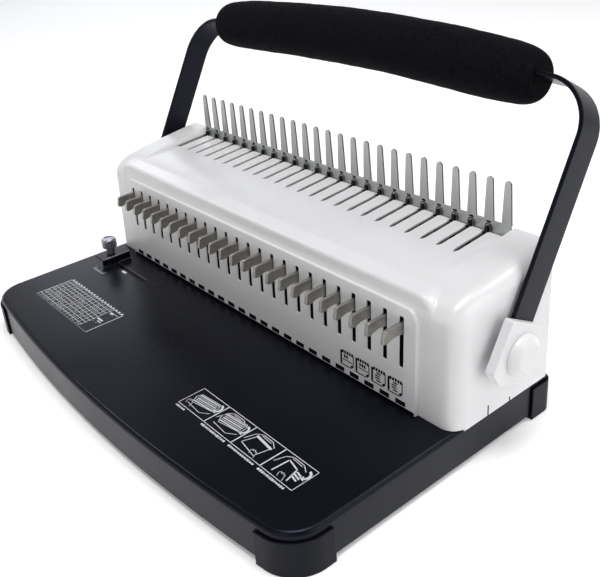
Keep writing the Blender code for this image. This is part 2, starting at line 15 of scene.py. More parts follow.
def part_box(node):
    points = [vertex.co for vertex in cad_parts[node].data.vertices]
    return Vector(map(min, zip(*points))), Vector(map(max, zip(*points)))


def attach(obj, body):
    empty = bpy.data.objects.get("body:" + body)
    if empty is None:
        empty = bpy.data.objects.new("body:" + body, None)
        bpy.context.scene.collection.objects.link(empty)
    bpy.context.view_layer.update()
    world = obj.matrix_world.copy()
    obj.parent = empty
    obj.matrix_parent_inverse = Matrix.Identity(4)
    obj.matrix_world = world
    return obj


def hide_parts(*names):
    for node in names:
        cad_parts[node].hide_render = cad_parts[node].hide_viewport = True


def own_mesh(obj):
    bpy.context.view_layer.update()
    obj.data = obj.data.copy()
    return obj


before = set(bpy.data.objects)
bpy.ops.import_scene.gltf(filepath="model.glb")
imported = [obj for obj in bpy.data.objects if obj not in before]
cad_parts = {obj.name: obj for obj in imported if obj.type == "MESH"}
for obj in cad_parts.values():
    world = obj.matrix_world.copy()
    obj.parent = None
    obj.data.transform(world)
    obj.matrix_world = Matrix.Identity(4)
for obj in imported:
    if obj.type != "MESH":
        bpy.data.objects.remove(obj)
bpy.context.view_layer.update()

MM = 0.001
BASE_LOW, BASE_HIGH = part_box("base_plate")
BASE_BACK = 100.0
BASE_REAR = 102.4                  # the rolled rim stands a little further out
FOOT = Vector((0.0, BASE_HIGH.y - BASE_BACK * MM, BASE_HIGH.z))
GAP = 0.3                          # clearance between neighbouring pieces

# Comb pattern
PITCH = 14.2875
SLOT_X = [(i - 11.5) * PITCH for i in range(24)]
HOOK_X = [(i - 12) * PITCH for i in range(24)]
TINE_X = [(i - 12) * PITCH for i in range(25)]

# Base tray
HALF_WIDTH = BASE_HIGH.x / MM
BOW_FRONT = -140.3
BOW_RADIUS = 1400.0
FRONT_CORNER = 25.0
BACK_CORNER = 6.0
SKIRT_BOTTOM = (BASE_LOW.z - BASE_HIGH.z) / MM
SHEET = 1.2                        # thickness of the pressed steel
RIM_RADIUS = 3.5
FOOT_PROUD = 1.8                   # how far a corner cap stands outside the skirt
FOOT_BOTTOM = -31.0
FOOT_TOP = -6.0

# Casing
CASING_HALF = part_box("casing")[1].x / MM
CASING_BACK = 98.0
CASING_CORNER = 11.5
CASING_BACK_CORNER = 3.0
CASING_WALL = 2.5
FRONT_FOOT_Y = 2.8
LEAN = radians(2.5)
TOP_FRONT = (27.0, 88.7)
TOP_SLOPE = 0.132
WELL_SLOPE = 0.045
WELL_HALF = 172.0
WELL_FLOOR = ((0.0, 88.2), (27.0, 88.5), (59.0, 89.1), (98.0, 92.4))    # y and height of the sunk top
ARCH_FADE = 2.4                    # the outer arch sinks this far into the front lower down
ROUND_START = 72.0                 # height where the front turns into the top
ROUND_END = 40.0                   # how far back that turn ends
FRONT_SLOT = (31.2, 67.5)
FRONT_SLOT_WIDTH = 3.5
TOP_SLOT_FRONT = 59.0
TOP_SLOT_WIDTH = 3.3
RIB_END = 93.4
HOOK_GAP_HALF = 175.8
PANEL_HALF, PANEL_TOP, PANEL_CORNER = 177.0, 75.0, 9.0
PLATE_HALF, PLATE_TOP, PLATE_CORNER = 187.0, 86.3, 13.0

# Handle
SHAFT_Y, SHAFT_Z = 50.3, 42.1
HANDLE_TILT = radians(28.7)
ARM_OUTER = 211.6
BAR_THICK = 3.0
BAR_WIDE = 22.0
BAR_SHIFT = 1.4                    # how far the bar stands behind the line through the shaft
BAR_RISE = 168.0
BEND_RADIUS = 34.0
BAR_ARCH = 6.0
GRIP_MIDDLE = -3.1
GRIP_HALF = 169.7
GRIP_SAG = 2.2                     # the foam hangs lower at its right end
# distance from an end of the foam, radius there
GRIP_PROFILE = ((0.0, 12.6), (0.8, 14.2), (2.4, 15.8), (5.0, 17.4), (10.0, 18.9), (20.0, 20.0),
                (40.0, 20.9), (80.0, 21.5), (120.0, 21.6), (GRIP_HALF, 21.6))
HUB_INNER = ARM_OUTER + GAP
HUB_OUTER = 218.5

# Edge guide
GUIDE_SLOT = (-193.3, -120.7)      # centres of the slot's two round ends
GUIDE_Y = -23.3
GUIDE_SLOT_HALF = 2.4
SCREW_X = -178.0

# Works
SPRING_FOOT, SPRING_HEAD = 22.4, 50.0


# --- mesh helpers ---

def place(point):
    """Working millimetres to metres in the model's frame."""
    return FOOT + Vector(point) * MM


def arc(centre, radius, start, end, steps):
    angles = [radians(start + (end - start) * i / steps) for i in range(steps + 1)]
    return [(centre[0] + radius * cos(a), centre[1] + radius * sin(a)) for a in angles]


def circle(centre, radius, steps):
    return arc(centre, radius, 0.0, 360.0, steps)[:-1]


def rectangle(lo, hi):
    return [(lo[0], lo[1]), (hi[0], lo[1]), (hi[0], hi[1]), (lo[0], hi[1])]


def rounded(corners, radius, steps=4):
    """A polygon with each corner rounded off."""
    points = []
    count = len(corners)
    for i, corner in enumerate(corners):
        at = Vector(corner)
        before = (Vector(corners[i - 1]) - at).normalized()
        after = (Vector(corners[(i + 1) % count]) - at).normalized()
        half = before.angle(after) / 2
        reach = radius / tan(half)
        start, end = at + before * reach, at + after * reach
        for step in range(steps + 1):
            t = step / steps
            points.append(tuple(start * (1 - t) ** 2 + at * (2 * t * (1 - t)) + end * t ** 2))
    return points


def lift(axis, point, height):
    if axis == "X":
        return Vector((height, point[0], point[1]))
    if axis == "Y":
        return Vector((point[0], height, point[1]))
    return Vector((point[0], point[1], height))


def loft(rings, bm=None):
    """Join rings of equal length into one closed body."""
    bm = bm or bmesh.new()
    layers = [[bm.verts.new(point) for point in ring] for ring in rings]
    count = len(layers[0])
    for lower, upper in zip(layers, layers[1:]):
        for i in range(count):
            j = (i + 1) % count
            bm.faces.new((lower[i], lower[j], upper[j], upper[i]))
    bm.faces.new(layers[0])
    bm.faces.new(layers[-1])
    return bm


def prism(outline, axis, lo, hi, bm=None):
    return loft([[lift(axis, point, height) for point in outline] for height in (lo, hi)], bm)


def block(lo, hi, bm=None):
    return prism(rectangle(lo[:2], hi[:2]), "Z", lo[2], hi[2], bm)


def turned(axis, centre, stations, steps=48):
    return loft([[lift(axis, point, height) for point in circle(centre, radius, steps)]
                 for height, radius in stations])


def link(name, data):
    """A new object in the scene."""
    made = bpy.data.objects.new(name, data)
    bpy.context.scene.collection.objects.link(made)
    return made


def from_bmesh(name, bm):
    mesh = bpy.data.meshes.new(name)
    bm.to_mesh(mesh)
    bm.free()
    return link(name, mesh)


def to_object(name, bm):
    """An object in the model's frame, from a mesh in working millimetres."""
    bmesh.ops.recalc_face_normals(bm, faces=bm.faces)
    for vert in bm.verts:
        vert.co = place(vert.co)
    return from_bmesh(name, bm)


def combine(target, bm, operation, painted_light=None):
    """Apply a Boolean with a helper solid straight away; new faces may take a material of painted shade or
    painted highlight.
    """
    helper = to_object("helper", bm)
    if painted_light:
        helper.data.materials.append(MATERIALS[painted_light])
    modifier = target.modifiers.new(operation, "BOOLEAN")
    modifier.operation = operation
    modifier.object = helper
    modifier.solver = "EXACT"
    modifier.material_mode = "TRANSFER" if painted_light else "INDEX"
    graph = bpy.context.evaluated_depsgraph_get()
    result = bpy.data.meshes.new_from_object(target.evaluated_get(graph))
    target.modifiers.clear()
    target.data = result
    bpy.data.objects.remove(helper, do_unlink=True)


def cut(target, bm, painted_light=None):
    combine(target, bm, "DIFFERENCE", painted_light)


def dress(piece, surface, body, stands_for=(), sharp=32.0, bevel=0.0, segments=3, corner=40.0):
    """Shade a piece, round its edges, give it its material and fix it to its body."""
    if not piece.data.materials:
        piece.data.materials.append(MATERIALS[surface])
    piece.data.shade_smooth()
    piece.data.set_sharp_from_angle(angle=radians(sharp))
    if bevel:
        rounding = piece.modifiers.new("edges", "BEVEL")
        rounding.width = bevel * MM
        rounding.segments = segments
        rounding.limit_method = "ANGLE"
        rounding.angle_limit = radians(corner)
        rounding.use_clamp_overlap = True
    shading = piece.modifiers.new("shading", "WEIGHTED_NORMAL")
    shading.keep_sharp = True
    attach(piece, body)
    if stands_for:
        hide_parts(*stands_for)
    return piece


# --- materials ---

def shader_of(made):
    return made.node_tree.nodes["Principled BSDF"]


def noise(made, scale, detail=3.0, stretch=(1.0, 1.0, 1.0)):
    """A noise value in object space, whose scale is in cycles per metre."""
    nodes, links = made.node_tree.nodes, made.node_tree.links
    coordinates = nodes.new("ShaderNodeTexCoord")
    mapping = nodes.new("ShaderNodeMapping")
    mapping.inputs["Scale"].default_value = stretch
    texture = nodes.new("ShaderNodeTexNoise")
    texture.inputs["Scale"].default_value = scale
    texture.inputs["Detail"].default_value = detail
    links.new(coordinates.outputs["Object"], mapping.inputs["Vector"])
    links.new(mapping.outputs["Vector"], texture.inputs["Vector"])
    return texture.outputs["Fac"]


def spread(made, value, low, high, start=0.3, end=0.7):
    """Map a noise value to a range of numbers."""
    node = made.node_tree.nodes.new("ShaderNodeMapRange")
    for name, number in (("From Min", start), ("From Max", end), ("To Min", low), ("To Max", high)):
        node.inputs[name].default_value = number
    made.node_tree.links.new(value, node.inputs["Value"])
    return node.outputs["Result"]


def tint(made, value, dark, light, start=0.3, end=0.7):
    """Map a noise value to a range of colours."""
    ramp = made.node_tree.nodes.new("ShaderNodeValToRGB")
    ramp.color_ramp.elements[0].position = start
    ramp.color_ramp.elements[0].color = (*dark, 1.0)
    ramp.color_ramp.elements[1].position = end
    ramp.color_ramp.elements[1].color = (*light, 1.0)
    made.node_tree.links.new(value, ramp.inputs["Fac"])
    return ramp.outputs["Color"]


def raise_bump(made, value, depth, strength=1.0):
    """Add fine relief; depth is in metres."""
    links = made.node_tree.links
    bump = made.node_tree.nodes.new("ShaderNodeBump")
    bump.inputs["Strength"].default_value = strength
    bump.inputs["Distance"].default_value = depth
    links.new(value, bump.inputs["Height"])
    normal = shader_of(made).inputs["Normal"]
    if normal.links:
        links.new(normal.links[0].from_socket, bump.inputs["Normal"])
    links.new(bump.outputs["Normal"], normal)


def new_material(name, colour, roughness, metallic=0.0, specular=0.5):
    made = bpy.data.materials.new(name)
    made.use_nodes = True
    shader = shader_of(made)
    shader.inputs["Base Color"].default_value = (*colour, 1.0)
    shader.inputs["Roughness"].default_value = roughness
    shader.inputs["Metallic"].default_value = metallic
    shader.inputs["Specular IOR Level"].default_value = specular
    made.diffuse_color = (*colour, 1.0)
    return made


def varied(name, colour, vary, roughness, blotch, metallic=0.0, specular=0.5,
           grain=None, stretch=(1.0, 1.0, 1.0)):
    """A surface whose colour and roughness drift, with fine relief (scale, depth)."""
    made = new_material(name, colour, sum(roughness) / 2, metallic, specular)
    links, shader = made.node_tree.links, shader_of(made)
    value = noise(made, blotch, 4.0, stretch)
    dark = tuple(c * (1 - vary) for c in colour)
    light = tuple(min(c * (1 + vary), 1.0) for c in colour)
    links.new(tint(made, value, dark, light), shader.inputs["Base Color"])
    links.new(spread(made, value, *roughness), shader.inputs["Roughness"])
    if grain:
        raise_bump(made, noise(made, grain[0], 2.0, stretch), grain[1])
    return made


def make_white_plastic():
    made = varied("white_moulded_plastic", (0.74, 0.74, 0.75), 0.02, (0.30, 0.36), 35.0,
                  specular=0.5, grain=(1500.0, 0.00002))
    shader = shader_of(made)
    shader.inputs["Coat Weight"].default_value = 0.25
    shader.inputs["Coat Roughness"].default_value = 0.22
    return made


def make_black(name, colour, vary, roughness, blotch, specular, grain):
    """A black surface with a slightly blue sheen."""
    made = varied(name, colour, vary, roughness, blotch, specular=specular, grain=grain)
    shader_of(made).inputs["Specular Tint"].default_value = (0.74, 0.79, 1.0, 1.0)
    return made


def make_black_coat():
    """Powder coat: fine orange peel, and faint rubbed patches."""
    made = make_black("black_powder_coat", (0.0038, 0.0042, 0.0075), 0.12, (0.25, 0.32), 14.0,
                      0.17, (1400.0, 0.00002))
    raise_bump(made, noise(made, 260.0, 2.0), 0.00002)
    return made


def make_foam():
    """Closed-cell foam sleeve: fine cells over slow dents."""
    made = new_material("black_foam", (0.0040, 0.0040, 0.0055), 0.92, specular=0.07)
    nodes, links = made.node_tree.nodes, made.node_tree.links
    cells = nodes.new("ShaderNodeTexVoronoi")
    cells.inputs["Scale"].default_value = 1300.0
    coordinates = nodes.new("ShaderNodeTexCoord")
    links.new(coordinates.outputs["Object"], cells.inputs["Vector"])
    raise_bump(made, noise(made, 160.0, 4.0), 0.0003)
    raise_bump(made, cells.outputs["Distance"], 0.00025)
    value = noise(made, 420.0, 5.0)
    links.new(tint(made, value, (0.0020, 0.0020, 0.0030), (0.0060, 0.0060, 0.0080)),
              shader_of(made).inputs["Base Color"])
    return made


def make_steel(name, colour, roughness, stretch, vary=0.1):
    """Steel with brushed or rolled streaks; stretch is small along the streaks."""
    made = varied(name, colour, vary, roughness, 900.0, metallic=1.0, stretch=stretch)
    raise_bump(made, noise(made, 1800.0, 2.0, stretch), 0.00002, 0.6)
    return made


MATERIALS = {
    "white": make_white_plastic(),
    "coat": make_black_coat(),
    "foam": make_foam(),
    "tab": make_steel("brushed_tab_steel", (0.36, 0.343, 0.318), (0.34, 0.5), (1.0, 0.25, 1.0), 0.14),
    "zinc": make_steel("zinc_plate", (0.62, 0.63, 0.62), (0.28, 0.42), (1.0, 1.0, 0.12), 0.08),
    "tool": make_steel("ground_tool_steel", (0.42, 0.42, 0.41), (0.25, 0.38), (0.1, 1.0, 1.0)),
    "spring": make_steel("spring_wire", (0.5, 0.5, 0.5), (0.2, 0.3), (1.0, 1.0, 1.0)),
    "bronze": varied("sintered_bronze", (0.42, 0.27, 0.12), 0.15, (0.4, 0.55), 600.0, metallic=1.0,
                     grain=(2500.0, 0.00003)),
    "screw": make_steel("dark_nickel", (0.42, 0.43, 0.46), (0.26, 0.36), (1.0, 1.0, 1.0), 0.08),
    # Light bare steel on the guide bracket's bend and on the walls of the guide's slot: painted highlight.
    "bracket": make_steel("painted_highlight_steel", (0.26, 0.26, 0.27), (0.25, 0.38), (1.0, 0.2, 1.0)),
    "black_plastic": make_black("black_moulded_plastic", (0.0042, 0.0045, 0.0070), 0.1, (0.36, 0.46),
                                60.0, 0.14, (1700.0, 0.00003)),
    # Near-black for the inner faces of the casing, its slots, holes and slits, and the tine plate's
    # recesses: painted shade.
    "painted_light": varied("painted_shade_inside", (0.008, 0.008, 0.009), 0.1, (0.7, 0.85), 60.0, specular=0.1),
    # Near-black steel for the works seen through the slots and openings, dark so they read as the shade
    # inside: painted shade.
    "dark_tool": varied("black_steel_painted_shade", (0.035, 0.035, 0.036), 0.15, (0.45, 0.6), 300.0, metallic=1.0,
                        grain=(1500.0, 0.00003)),
    "tine": make_steel("tine_steel", (0.47, 0.48, 0.475), (0.34, 0.46), (1.0, 1.0, 0.12), 0.08),
    # Darker steel for the tines' side faces.
    "darker_side": varied("darker_tine_side", (0.10, 0.10, 0.10), 0.2, (0.4, 0.6), 900.0, metallic=1.0,
                      grain=(1500.0, 0.00003)),
    "white_ink": varied("white_ink", (0.58, 0.60, 0.63), 0.12, (0.5, 0.6), 700.0),
    "black_ink": varied("black_ink", (0.003, 0.003, 0.004), 0.1, (0.55, 0.65), 700.0, specular=0.08),
}


# --- base tray ---

def base_outline(grow=0.0):
    """Plan of the base: straight sides and back, bowed front, round corners."""
    corner_x = HALF_WIDTH - FRONT_CORNER
    centre_y = BOW_FRONT + BOW_RADIUS
    corner_y = centre_y - sqrt((BOW_RADIUS - FRONT_CORNER) ** 2 - corner_x ** 2)
    spread_angle = degrees(asin(corner_x / (BOW_RADIUS - FRONT_CORNER)))
    points = arc((0.0, centre_y), BOW_RADIUS + grow, 270 - spread_angle, 270 + spread_angle, 60)
    points += arc((corner_x, corner_y), FRONT_CORNER + grow, 270 + spread_angle, 360, 24)[1:]
    back_x, back_y = HALF_WIDTH - BACK_CORNER, BASE_REAR - BACK_CORNER
    points += arc((back_x, back_y), BACK_CORNER + grow, 0, 90, 10)
    points += arc((-back_x, back_y), BACK_CORNER + grow, 90, 180, 10)
    points += arc((-corner_x, corner_y), FRONT_CORNER + grow, 180, 270 - spread_angle, 24)[:-1]
    return points


def base_ring(grow, height):
    return [Vector((x, y, height)) for x, y in base_outline(grow)]


def make_base():
    """Pressed steel tray with a rolled rim, its chip openings and the guide's slot."""
    steps = 9
    tight = RIM_RADIUS - SHEET
    outer = [base_ring(-0.25, SKIRT_BOTTOM), base_ring(0.0, SKIRT_BOTTOM + 0.3)]
    inner = [base_ring(-SHEET + 0.2, SKIRT_BOTTOM), base_ring(-SHEET, SKIRT_BOTTOM + 0.3)]
    for step in range(steps + 1):
        turn = radians(90.0 * step / steps)
        outer.append(base_ring(-RIM_RADIUS * (1 - cos(turn)), RIM_RADIUS * (sin(turn) - 1)))
        inner.append(base_ring(-SHEET - tight * (1 - cos(turn)), tight * sin(turn) - RIM_RADIUS))
    base = to_object("base_tray", loft(list(reversed(inner)) + outer))
    openings = block((-184.5, 5.7, -8), (184.5, 30.3, 4))               # chips fall through
    block((-212, -2.1, -26.1), (-198, 46.1, -5.9), openings)            # mouth of the drawer
    base.data.materials.append(MATERIALS["coat"])
    cut(base, openings)
    slot = arc((GUIDE_SLOT[0], GUIDE_Y), GUIDE_SLOT_HALF, 90, 270, 10)
    slot += arc((GUIDE_SLOT[1], GUIDE_Y), GUIDE_SLOT_HALF, -90, 90, 10)
    # The slot's walls take light bare steel: a painted highlight along the slot's rim.
    cut(base, prism(slot, "Z", -8, 4), "bracket")
    dress(base, "coat", "root", ("base_plate",), sharp=30.0, bevel=0.35,
          segments=2, corner=60.0)


def make_feet():
    """Soft corner caps that wrap the skirt."""
    for side, side_name in ((-1, "left"), (1, "right")):
        corners = {"front": ((177.0, -150.0), (215.0, -96.0)), "back": ((187.0, 82.0), (215.0, 110.0))}
        for end, (lo, hi) in corners.items():
            x_range = sorted((side * lo[0], side * hi[0]))
            name = f"foot_{end}_{side_name}"
            cap = to_object(f"corner_{name}", prism(base_outline(FOOT_PROUD), "Z", FOOT_BOTTOM, FOOT_TOP))
            combine(cap, block((x_range[0], lo[1], -40), (x_range[1], hi[1], 0)), "INTERSECT")
            cut(cap, prism(base_outline(GAP), "Z", SKIRT_BOTTOM - GAP, 5))
            dress(cap, "black_plastic", "root", (name,), sharp=30.0,
                  bevel=0.6, corner=50.0)


# --- casing ---

def top_height(y, slope=TOP_SLOPE):
    return TOP_FRONT[1] + (y - TOP_FRONT[0]) * slope


def casing_profile(inset, slope=TOP_SLOPE, turn_steps=96, fine=True):
    """Side view of the casing as (y, z), moved inwards by inset."""
    foot_y = FRONT_FOOT_Y + inset
    lean = tan(LEAN)
    start_z = ROUND_START - inset
    heights = [GAP, 3.0, 12.0, 24.0, 36.0, 46.0]
    heights += [50.0 + 0.55 * i for i in range(40)] if fine else []
    squeeze = (start_z - GAP) / (ROUND_START - GAP)
    points = [(foot_y + (GAP + (z - GAP) * squeeze) * lean, GAP + (z - GAP) * squeeze) for z in heights]
    start = (foot_y + start_z * lean, start_z)
    end_y = ROUND_END + inset
    end = (end_y, top_height(end_y, slope) - inset)
    knee_z = (top_height(foot_y, slope) - inset) / (1 - lean * slope)
    knee = (foot_y + knee_z * lean, knee_z)
    for step in range(turn_steps + 1):
        t = step / turn_steps
        points.append(tuple(start[i] * (1 - t) ** 2 + 2 * knee[i] * t * (1 - t) + end[i] * t ** 2
                            for i in range(2)))
    back_y = CASING_BACK - min(inset, CASING_BACK_CORNER)
    back_z = top_height(back_y, slope) - inset
    steps = 12
    for step in range(1, steps + 1):
        y = end_y + (back_y - 2.0 - end_y) * step / steps
        points.append((y, top_height(y, slope) - inset))
    points += [(back_y - 2.0 + 2.0 * sin(a), back_z - 2.0 + 2.0 * cos(a))
               for a in (radians(22), radians(45), radians(68), radians(90))]
    points += [(back_y, 60.0), (back_y, 30.0), (back_y, GAP)]
    return points


def smooth_min(a, b, k):
    h = np.clip(1.0 - np.abs(a - b) / k, 0.0, 1.0)
    return np.minimum(a, b) - h * h * k / 4.0


def smooth_max(a, b, k):
    return -smooth_min(-a, -b, k)


def smooth_step(value, low, high):
    t = np.clip((value - low) / (high - low), 0.0, 1.0)
    return t * t * (3.0 - 2.0 * t)


def arch_distance(x, z, half, top, corner):
    """Distance outside an arch that runs on downwards, in the plane of the front."""
    dx = np.abs(x) - (half - corner)
    dz = z - (top - corner)
    return (np.hypot(np.maximum(dx, 0.0), np.maximum(dz, 0.0))
            + np.minimum(np.maximum(dx, dz), 0.0) - corner)


def skin_distance(offset, x, y, z):
    """Distance to the casing's skin; offset is the distance to its plain bulk."""
    front = -(y - FRONT_FOOT_Y - z * tan(LEAN)) * cos(LEAN)
    sink = ARCH_FADE * (1.0 - smooth_step(z, 46.0, 76.0)) - 0.2
    plate = smooth_max(front + sink, arch_distance(x, z, PLATE_HALF, PLATE_TOP, PLATE_CORNER), 2.8)
    panel = smooth_max(front - FRONT_FOOT_Y, arch_distance(x, z, PANEL_HALF, PANEL_TOP, PANEL_CORNER), 0.8)
    shoulder = 1.3 * np.exp(-((y - 17.0) / 5.5) ** 2) * (1.0 - smooth_step(np.abs(x), 174.0, 190.0))
    body = smooth_min(offset + shoulder, plate, 2.0)
    body = smooth_min(body, panel, 0.35)
    above = z - np.interp(y, *zip(*WELL_FLOOR))
    inside = WELL_HALF + 0.55 * above - np.abs(x)
    sunk = smooth_min(above, inside, 0.8)
    return smooth_max(body, sunk, 2.2)


def skin_offsets(x, points, normals):
    """How far along its normal each bulk point moves to reach the skin."""
    reach = np.linspace(11.0, -11.0, 177)
    found = np.full(len(points), reach[-1])
    before = None
    done = np.zeros(len(points), bool)
    for s in reach:
        y = points[:, 0] + normals[:, 0] * s
        z = points[:, 1] + normals[:, 1] * s
        value = skin_distance(s, x, y, z)
        if before is not None:
            crossed = (value <= 0.0) & ~done
            step = reach[0] - reach[1]
            fall = np.maximum(before[crossed] - value[crossed], 1e-9)
            found[crossed] = s + step * (-value[crossed]) / fall
            done |= crossed
        before = value
    return found


def profile_normals(points):
    """Outward normals of a side-view profile; past the front's turn they point straight up."""
    along = np.gradient(points, axis=0)
    normals = np.stack([-along[:, 1], along[:, 0]], axis=1)
    normals[points[:, 0] > ROUND_END - 1.0] = (0.0, 1.0)
    return normals / np.linalg.norm(normals, axis=1)[:, None]


def flat_columns():
    """X stations between the two rounded ends, close together at the arches' sides."""
    inner = list(np.arange(0.0, 160.1, 8.0))
    near = list(np.arange(162.0, 192.1, 0.5))
    positive = inner[1:] + near + [CASING_HALF - CASING_CORNER]
    return [-x for x in reversed(positive)] + [0.0] + positive


def end_rings(side, inset=0.0, half=CASING_HALF, foot=GAP, slope=TOP_SLOPE, steps=10, fine=True,
              turn_steps=96):
    """Profiles round one end of the casing, from the tip inwards."""
    radius = CASING_CORNER - inset
    rings = []
    for step in range(steps):
        turn = radians(90.0 * step / steps)
        shrink = inset + radius * (1 - sin(turn))
        profile = casing_profile(shrink, slope, turn_steps, fine)
        x = side * (half - radius * (1 - cos(turn)))
        rings.append([Vector((x, y, foot if z <= GAP else z)) for y, z in profile])
    return rings


def outer_rings():
    flat = np.array(casing_profile(0.0))
    normals = profile_normals(flat)
    rings = end_rings(-1)
    for x in flat_columns():
        moved = skin_offsets(np.full(len(flat), x), flat, normals)
        moved[-3:] = 0.0
        skin = flat + normals * moved[:, None]
        skin[0] = (skin[1][0] - (skin[1][1] - GAP) * tan(LEAN), GAP)
        rings.append([Vector((x, y, z)) for y, z in skin])
    return rings + list(reversed(end_rings(1)))


def hollow_rings():
    """The space inside the casing, one wall in from its plain bulk."""
    inset = CASING_WALL
    half = CASING_HALF - CASING_WALL
    options = dict(inset=inset, half=half, foot=-5.0, slope=WELL_SLOPE, steps=5, fine=False, turn_steps=16)
    flat = [(y, -5.0 if z <= GAP else z) for y, z in casing_profile(inset, WELL_SLOPE, 16, False)]
    middle = half - (CASING_CORNER - inset)
    rings = end_rings(-1, **options)
    rings += [[Vector((x, y, z)) for y, z in flat] for x in (-middle, middle)]
    return rings + list(reversed(end_rings(1, **options)))


def front_slot_cutters(levels):
    """Slots for the pull tabs; levels are (depth, growth of the outline) going in."""
    bm = bmesh.new()
    for x in SLOT_X:
        rings = []
        for depth, grow in levels:
            half = FRONT_SLOT_WIDTH / 2 + grow
            corners = rectangle((x - half, FRONT_SLOT[0] - grow), (x + half, FRONT_SLOT[1] + grow))
            outline = rounded(corners, 0.9 + grow * 0.5, 3)
            rings.append([Vector((px, pz * tan(LEAN) + depth, pz)) for px, pz in outline])
        loft(rings, bm)
    return bm


def well_floor(y):
    """Height of the sunk top at the slots."""
    (front_y, front_z), (back_y, back_z) = WELL_FLOOR[-2:]
    return front_z + (y - front_y) * (back_z - front_z) / (back_y - front_y)


def top_slot_cutters(levels):
    """Pointed slots for the hooks, wider at their open back; levels are (height, growth) upwards."""
    bm = bmesh.new()
    for x in HOOK_X:
        rings = []
        for above, grow in levels:
            half = TOP_SLOT_WIDTH / 2 + grow
            tip = TOP_SLOT_FRONT - grow
            back, wide, neck = RIB_END + 1.0, half + 1.5, RIB_END - 3.6 - grow
            outline = [(x - wide, back), (x - wide, neck + 0.8), (x - half, neck), (x - half, tip + 3.6),
                       (x - half * 0.5, tip + 0.9), (x, tip), (x + half * 0.5, tip + 0.9),
                       (x + half, tip + 3.6), (x + half, neck), (x + half, back)]
            rings.append([Vector((px, py, well_floor(py) + above)) for px, py in outline])
        loft(rings, bm)
    return bm


def rib_step_cutter():
    """Lowers the back end of every rib by one small rounded step."""
    profile = [(91.0, 99.0), (91.0, well_floor(91.0) - 0.1), (91.3, well_floor(91.3) - 0.6),
               (91.9, well_floor(91.9) - 0.9), (95.0, well_floor(95.0) - 1.1), (95.0, 99.0)]
    return prism(profile, "X", -WELL_HALF + 1.3, WELL_HALF - 1.3)


def side_lips():
    """Lips hanging just outside the base's rim, and the snap tongue on each side."""
    bm = bmesh.new()
    for side in (-1, 1):
        inner, outer = sorted((side * (HALF_WIDTH + GAP), side * (CASING_HALF - 0.001)))
        block((inner, 12.5, -1.2), (outer, 94.5, 4.0), bm)
    return bm


def side_cutters():
    """Slits that free the snap tongues, and the holes for the shaft."""
    bm = turned("X", (SHAFT_Y, SHAFT_Z), [(-215, 8.0), (215, 8.0)], 32)
    for side in (-1, 1):
        inner, outer = sorted((side * 203.0, side * 209.0))
        block((inner, 34.3, -3.0), (outer, 35.5, 6.4), bm)
        block((inner, 55.9, -3.0), (outer, 57.1, 1.8), bm)
    return bm


def make_casing():
    casing = to_object("casing_shell", loft(outer_rings()))
    casing.data.materials.append(MATERIALS["white"])
    combine(casing, side_lips(), "UNION")
    # The inside, the inner walls of the slots, and the shaft holes and slits take the near-black material:
    # painted shade, since the real inside is the same white plastic.
    cut(casing, loft(hollow_rings()), "painted_light")
    cut(casing, block((-176.25, -5, -2), (176.25, 6, 2.6)))             # paper throat
    cut(casing, front_slot_cutters(((-1.0, 1.5), (0.5, 0.0), (0.8, 0.0))))
    cut(casing, front_slot_cutters(((0.7, 0.0), (9.0, 0.0))), "painted_light")
    cut(casing, rib_step_cutter())
    cut(casing, top_slot_cutters(((-1.6, 0.0), (-0.35, 0.0), (1.0, 1.35))))
    cut(casing, top_slot_cutters(((-11.0, 0.0), (-1.5, 0.0))), "painted_light")
    cut(casing, block((-HOOK_GAP_HALF, RIB_END, 60), (HOOK_GAP_HALF, 110, 110)))
    cut(casing, block((-192, 92, -4), (192, 110, 88)))                  # open back, for the cover
    cut(casing, side_cutters(), "painted_light")
    dress(casing, "white", "root", ("casing",), sharp=28.0)


def make_rear_panel():
    panel = to_object("rear_cover", block((-191.5, 95.7, GAP), (191.5, 97.9, 87.7)))
    dress(panel, "white", "root", ("rear_panel",), bevel=0.5)


# --- handle ---

def arm_point(along, across):
    """(y, z) of a point given along the resting handle arm and across it to the back."""
    return (SHAFT_Y + along * sin(HANDLE_TILT) + across * cos(HANDLE_TILT),
            SHAFT_Z + along * cos(HANDLE_TILT) - across * sin(HANDLE_TILT))


def bar_path():
    """(x, rise) along the middle of the bent bar."""
    middle = ARM_OUTER - BAR_THICK / 2
    radius = BEND_RADIUS - BAR_THICK / 2
    top = BAR_RISE - BAR_THICK / 2
    path = [(middle, -11.0), (middle, 40.0), (middle, 90.0)]
    path += arc((middle - radius, top - radius), radius, 0, 90, 28)
    half = middle - radius
    steps = 40
    for step in range(1, steps):
        x = half * (1 - 2 * step / steps)
        path.append((x, top + BAR_ARCH * (1 - (x / half) ** 2)))
    path += arc((radius - middle, top - radius), radius, 90, 180, 28)
    return path + [(-middle, 90.0), (-middle, 40.0), (-middle, -11.0)]


def bar_rings(thick, wide, edge):
    """Round-edged sections square to the path, in the tilted plane of the handle."""
    path = bar_path()
    low, high = BAR_SHIFT - wide / 2, BAR_SHIFT + wide / 2
    section = rounded(rectangle((low, -thick / 2), (high, thick / 2)), edge, 4)
    rings = []
    for index, (x, rise) in enumerate(path):
        before = Vector(path[max(index - 1, 0)])
        after = Vector(path[min(index + 1, len(path) - 1)])
        run = (after - before).normalized()
        side = Vector((run.y, -run.x))
        ring = []
        for across, out in section:
            y, z = arm_point(rise + out * side.y, across)
            ring.append(Vector((x + out * side.x, y, z)))
        rings.append(ring)
    return rings


def make_bar():
    bar = to_object("bail_bar", loft(bar_rings(BAR_THICK, BAR_WIDE, 0.8)))
    dress(bar, "coat", "handle", ("handle_bar",), sharp=40.0)


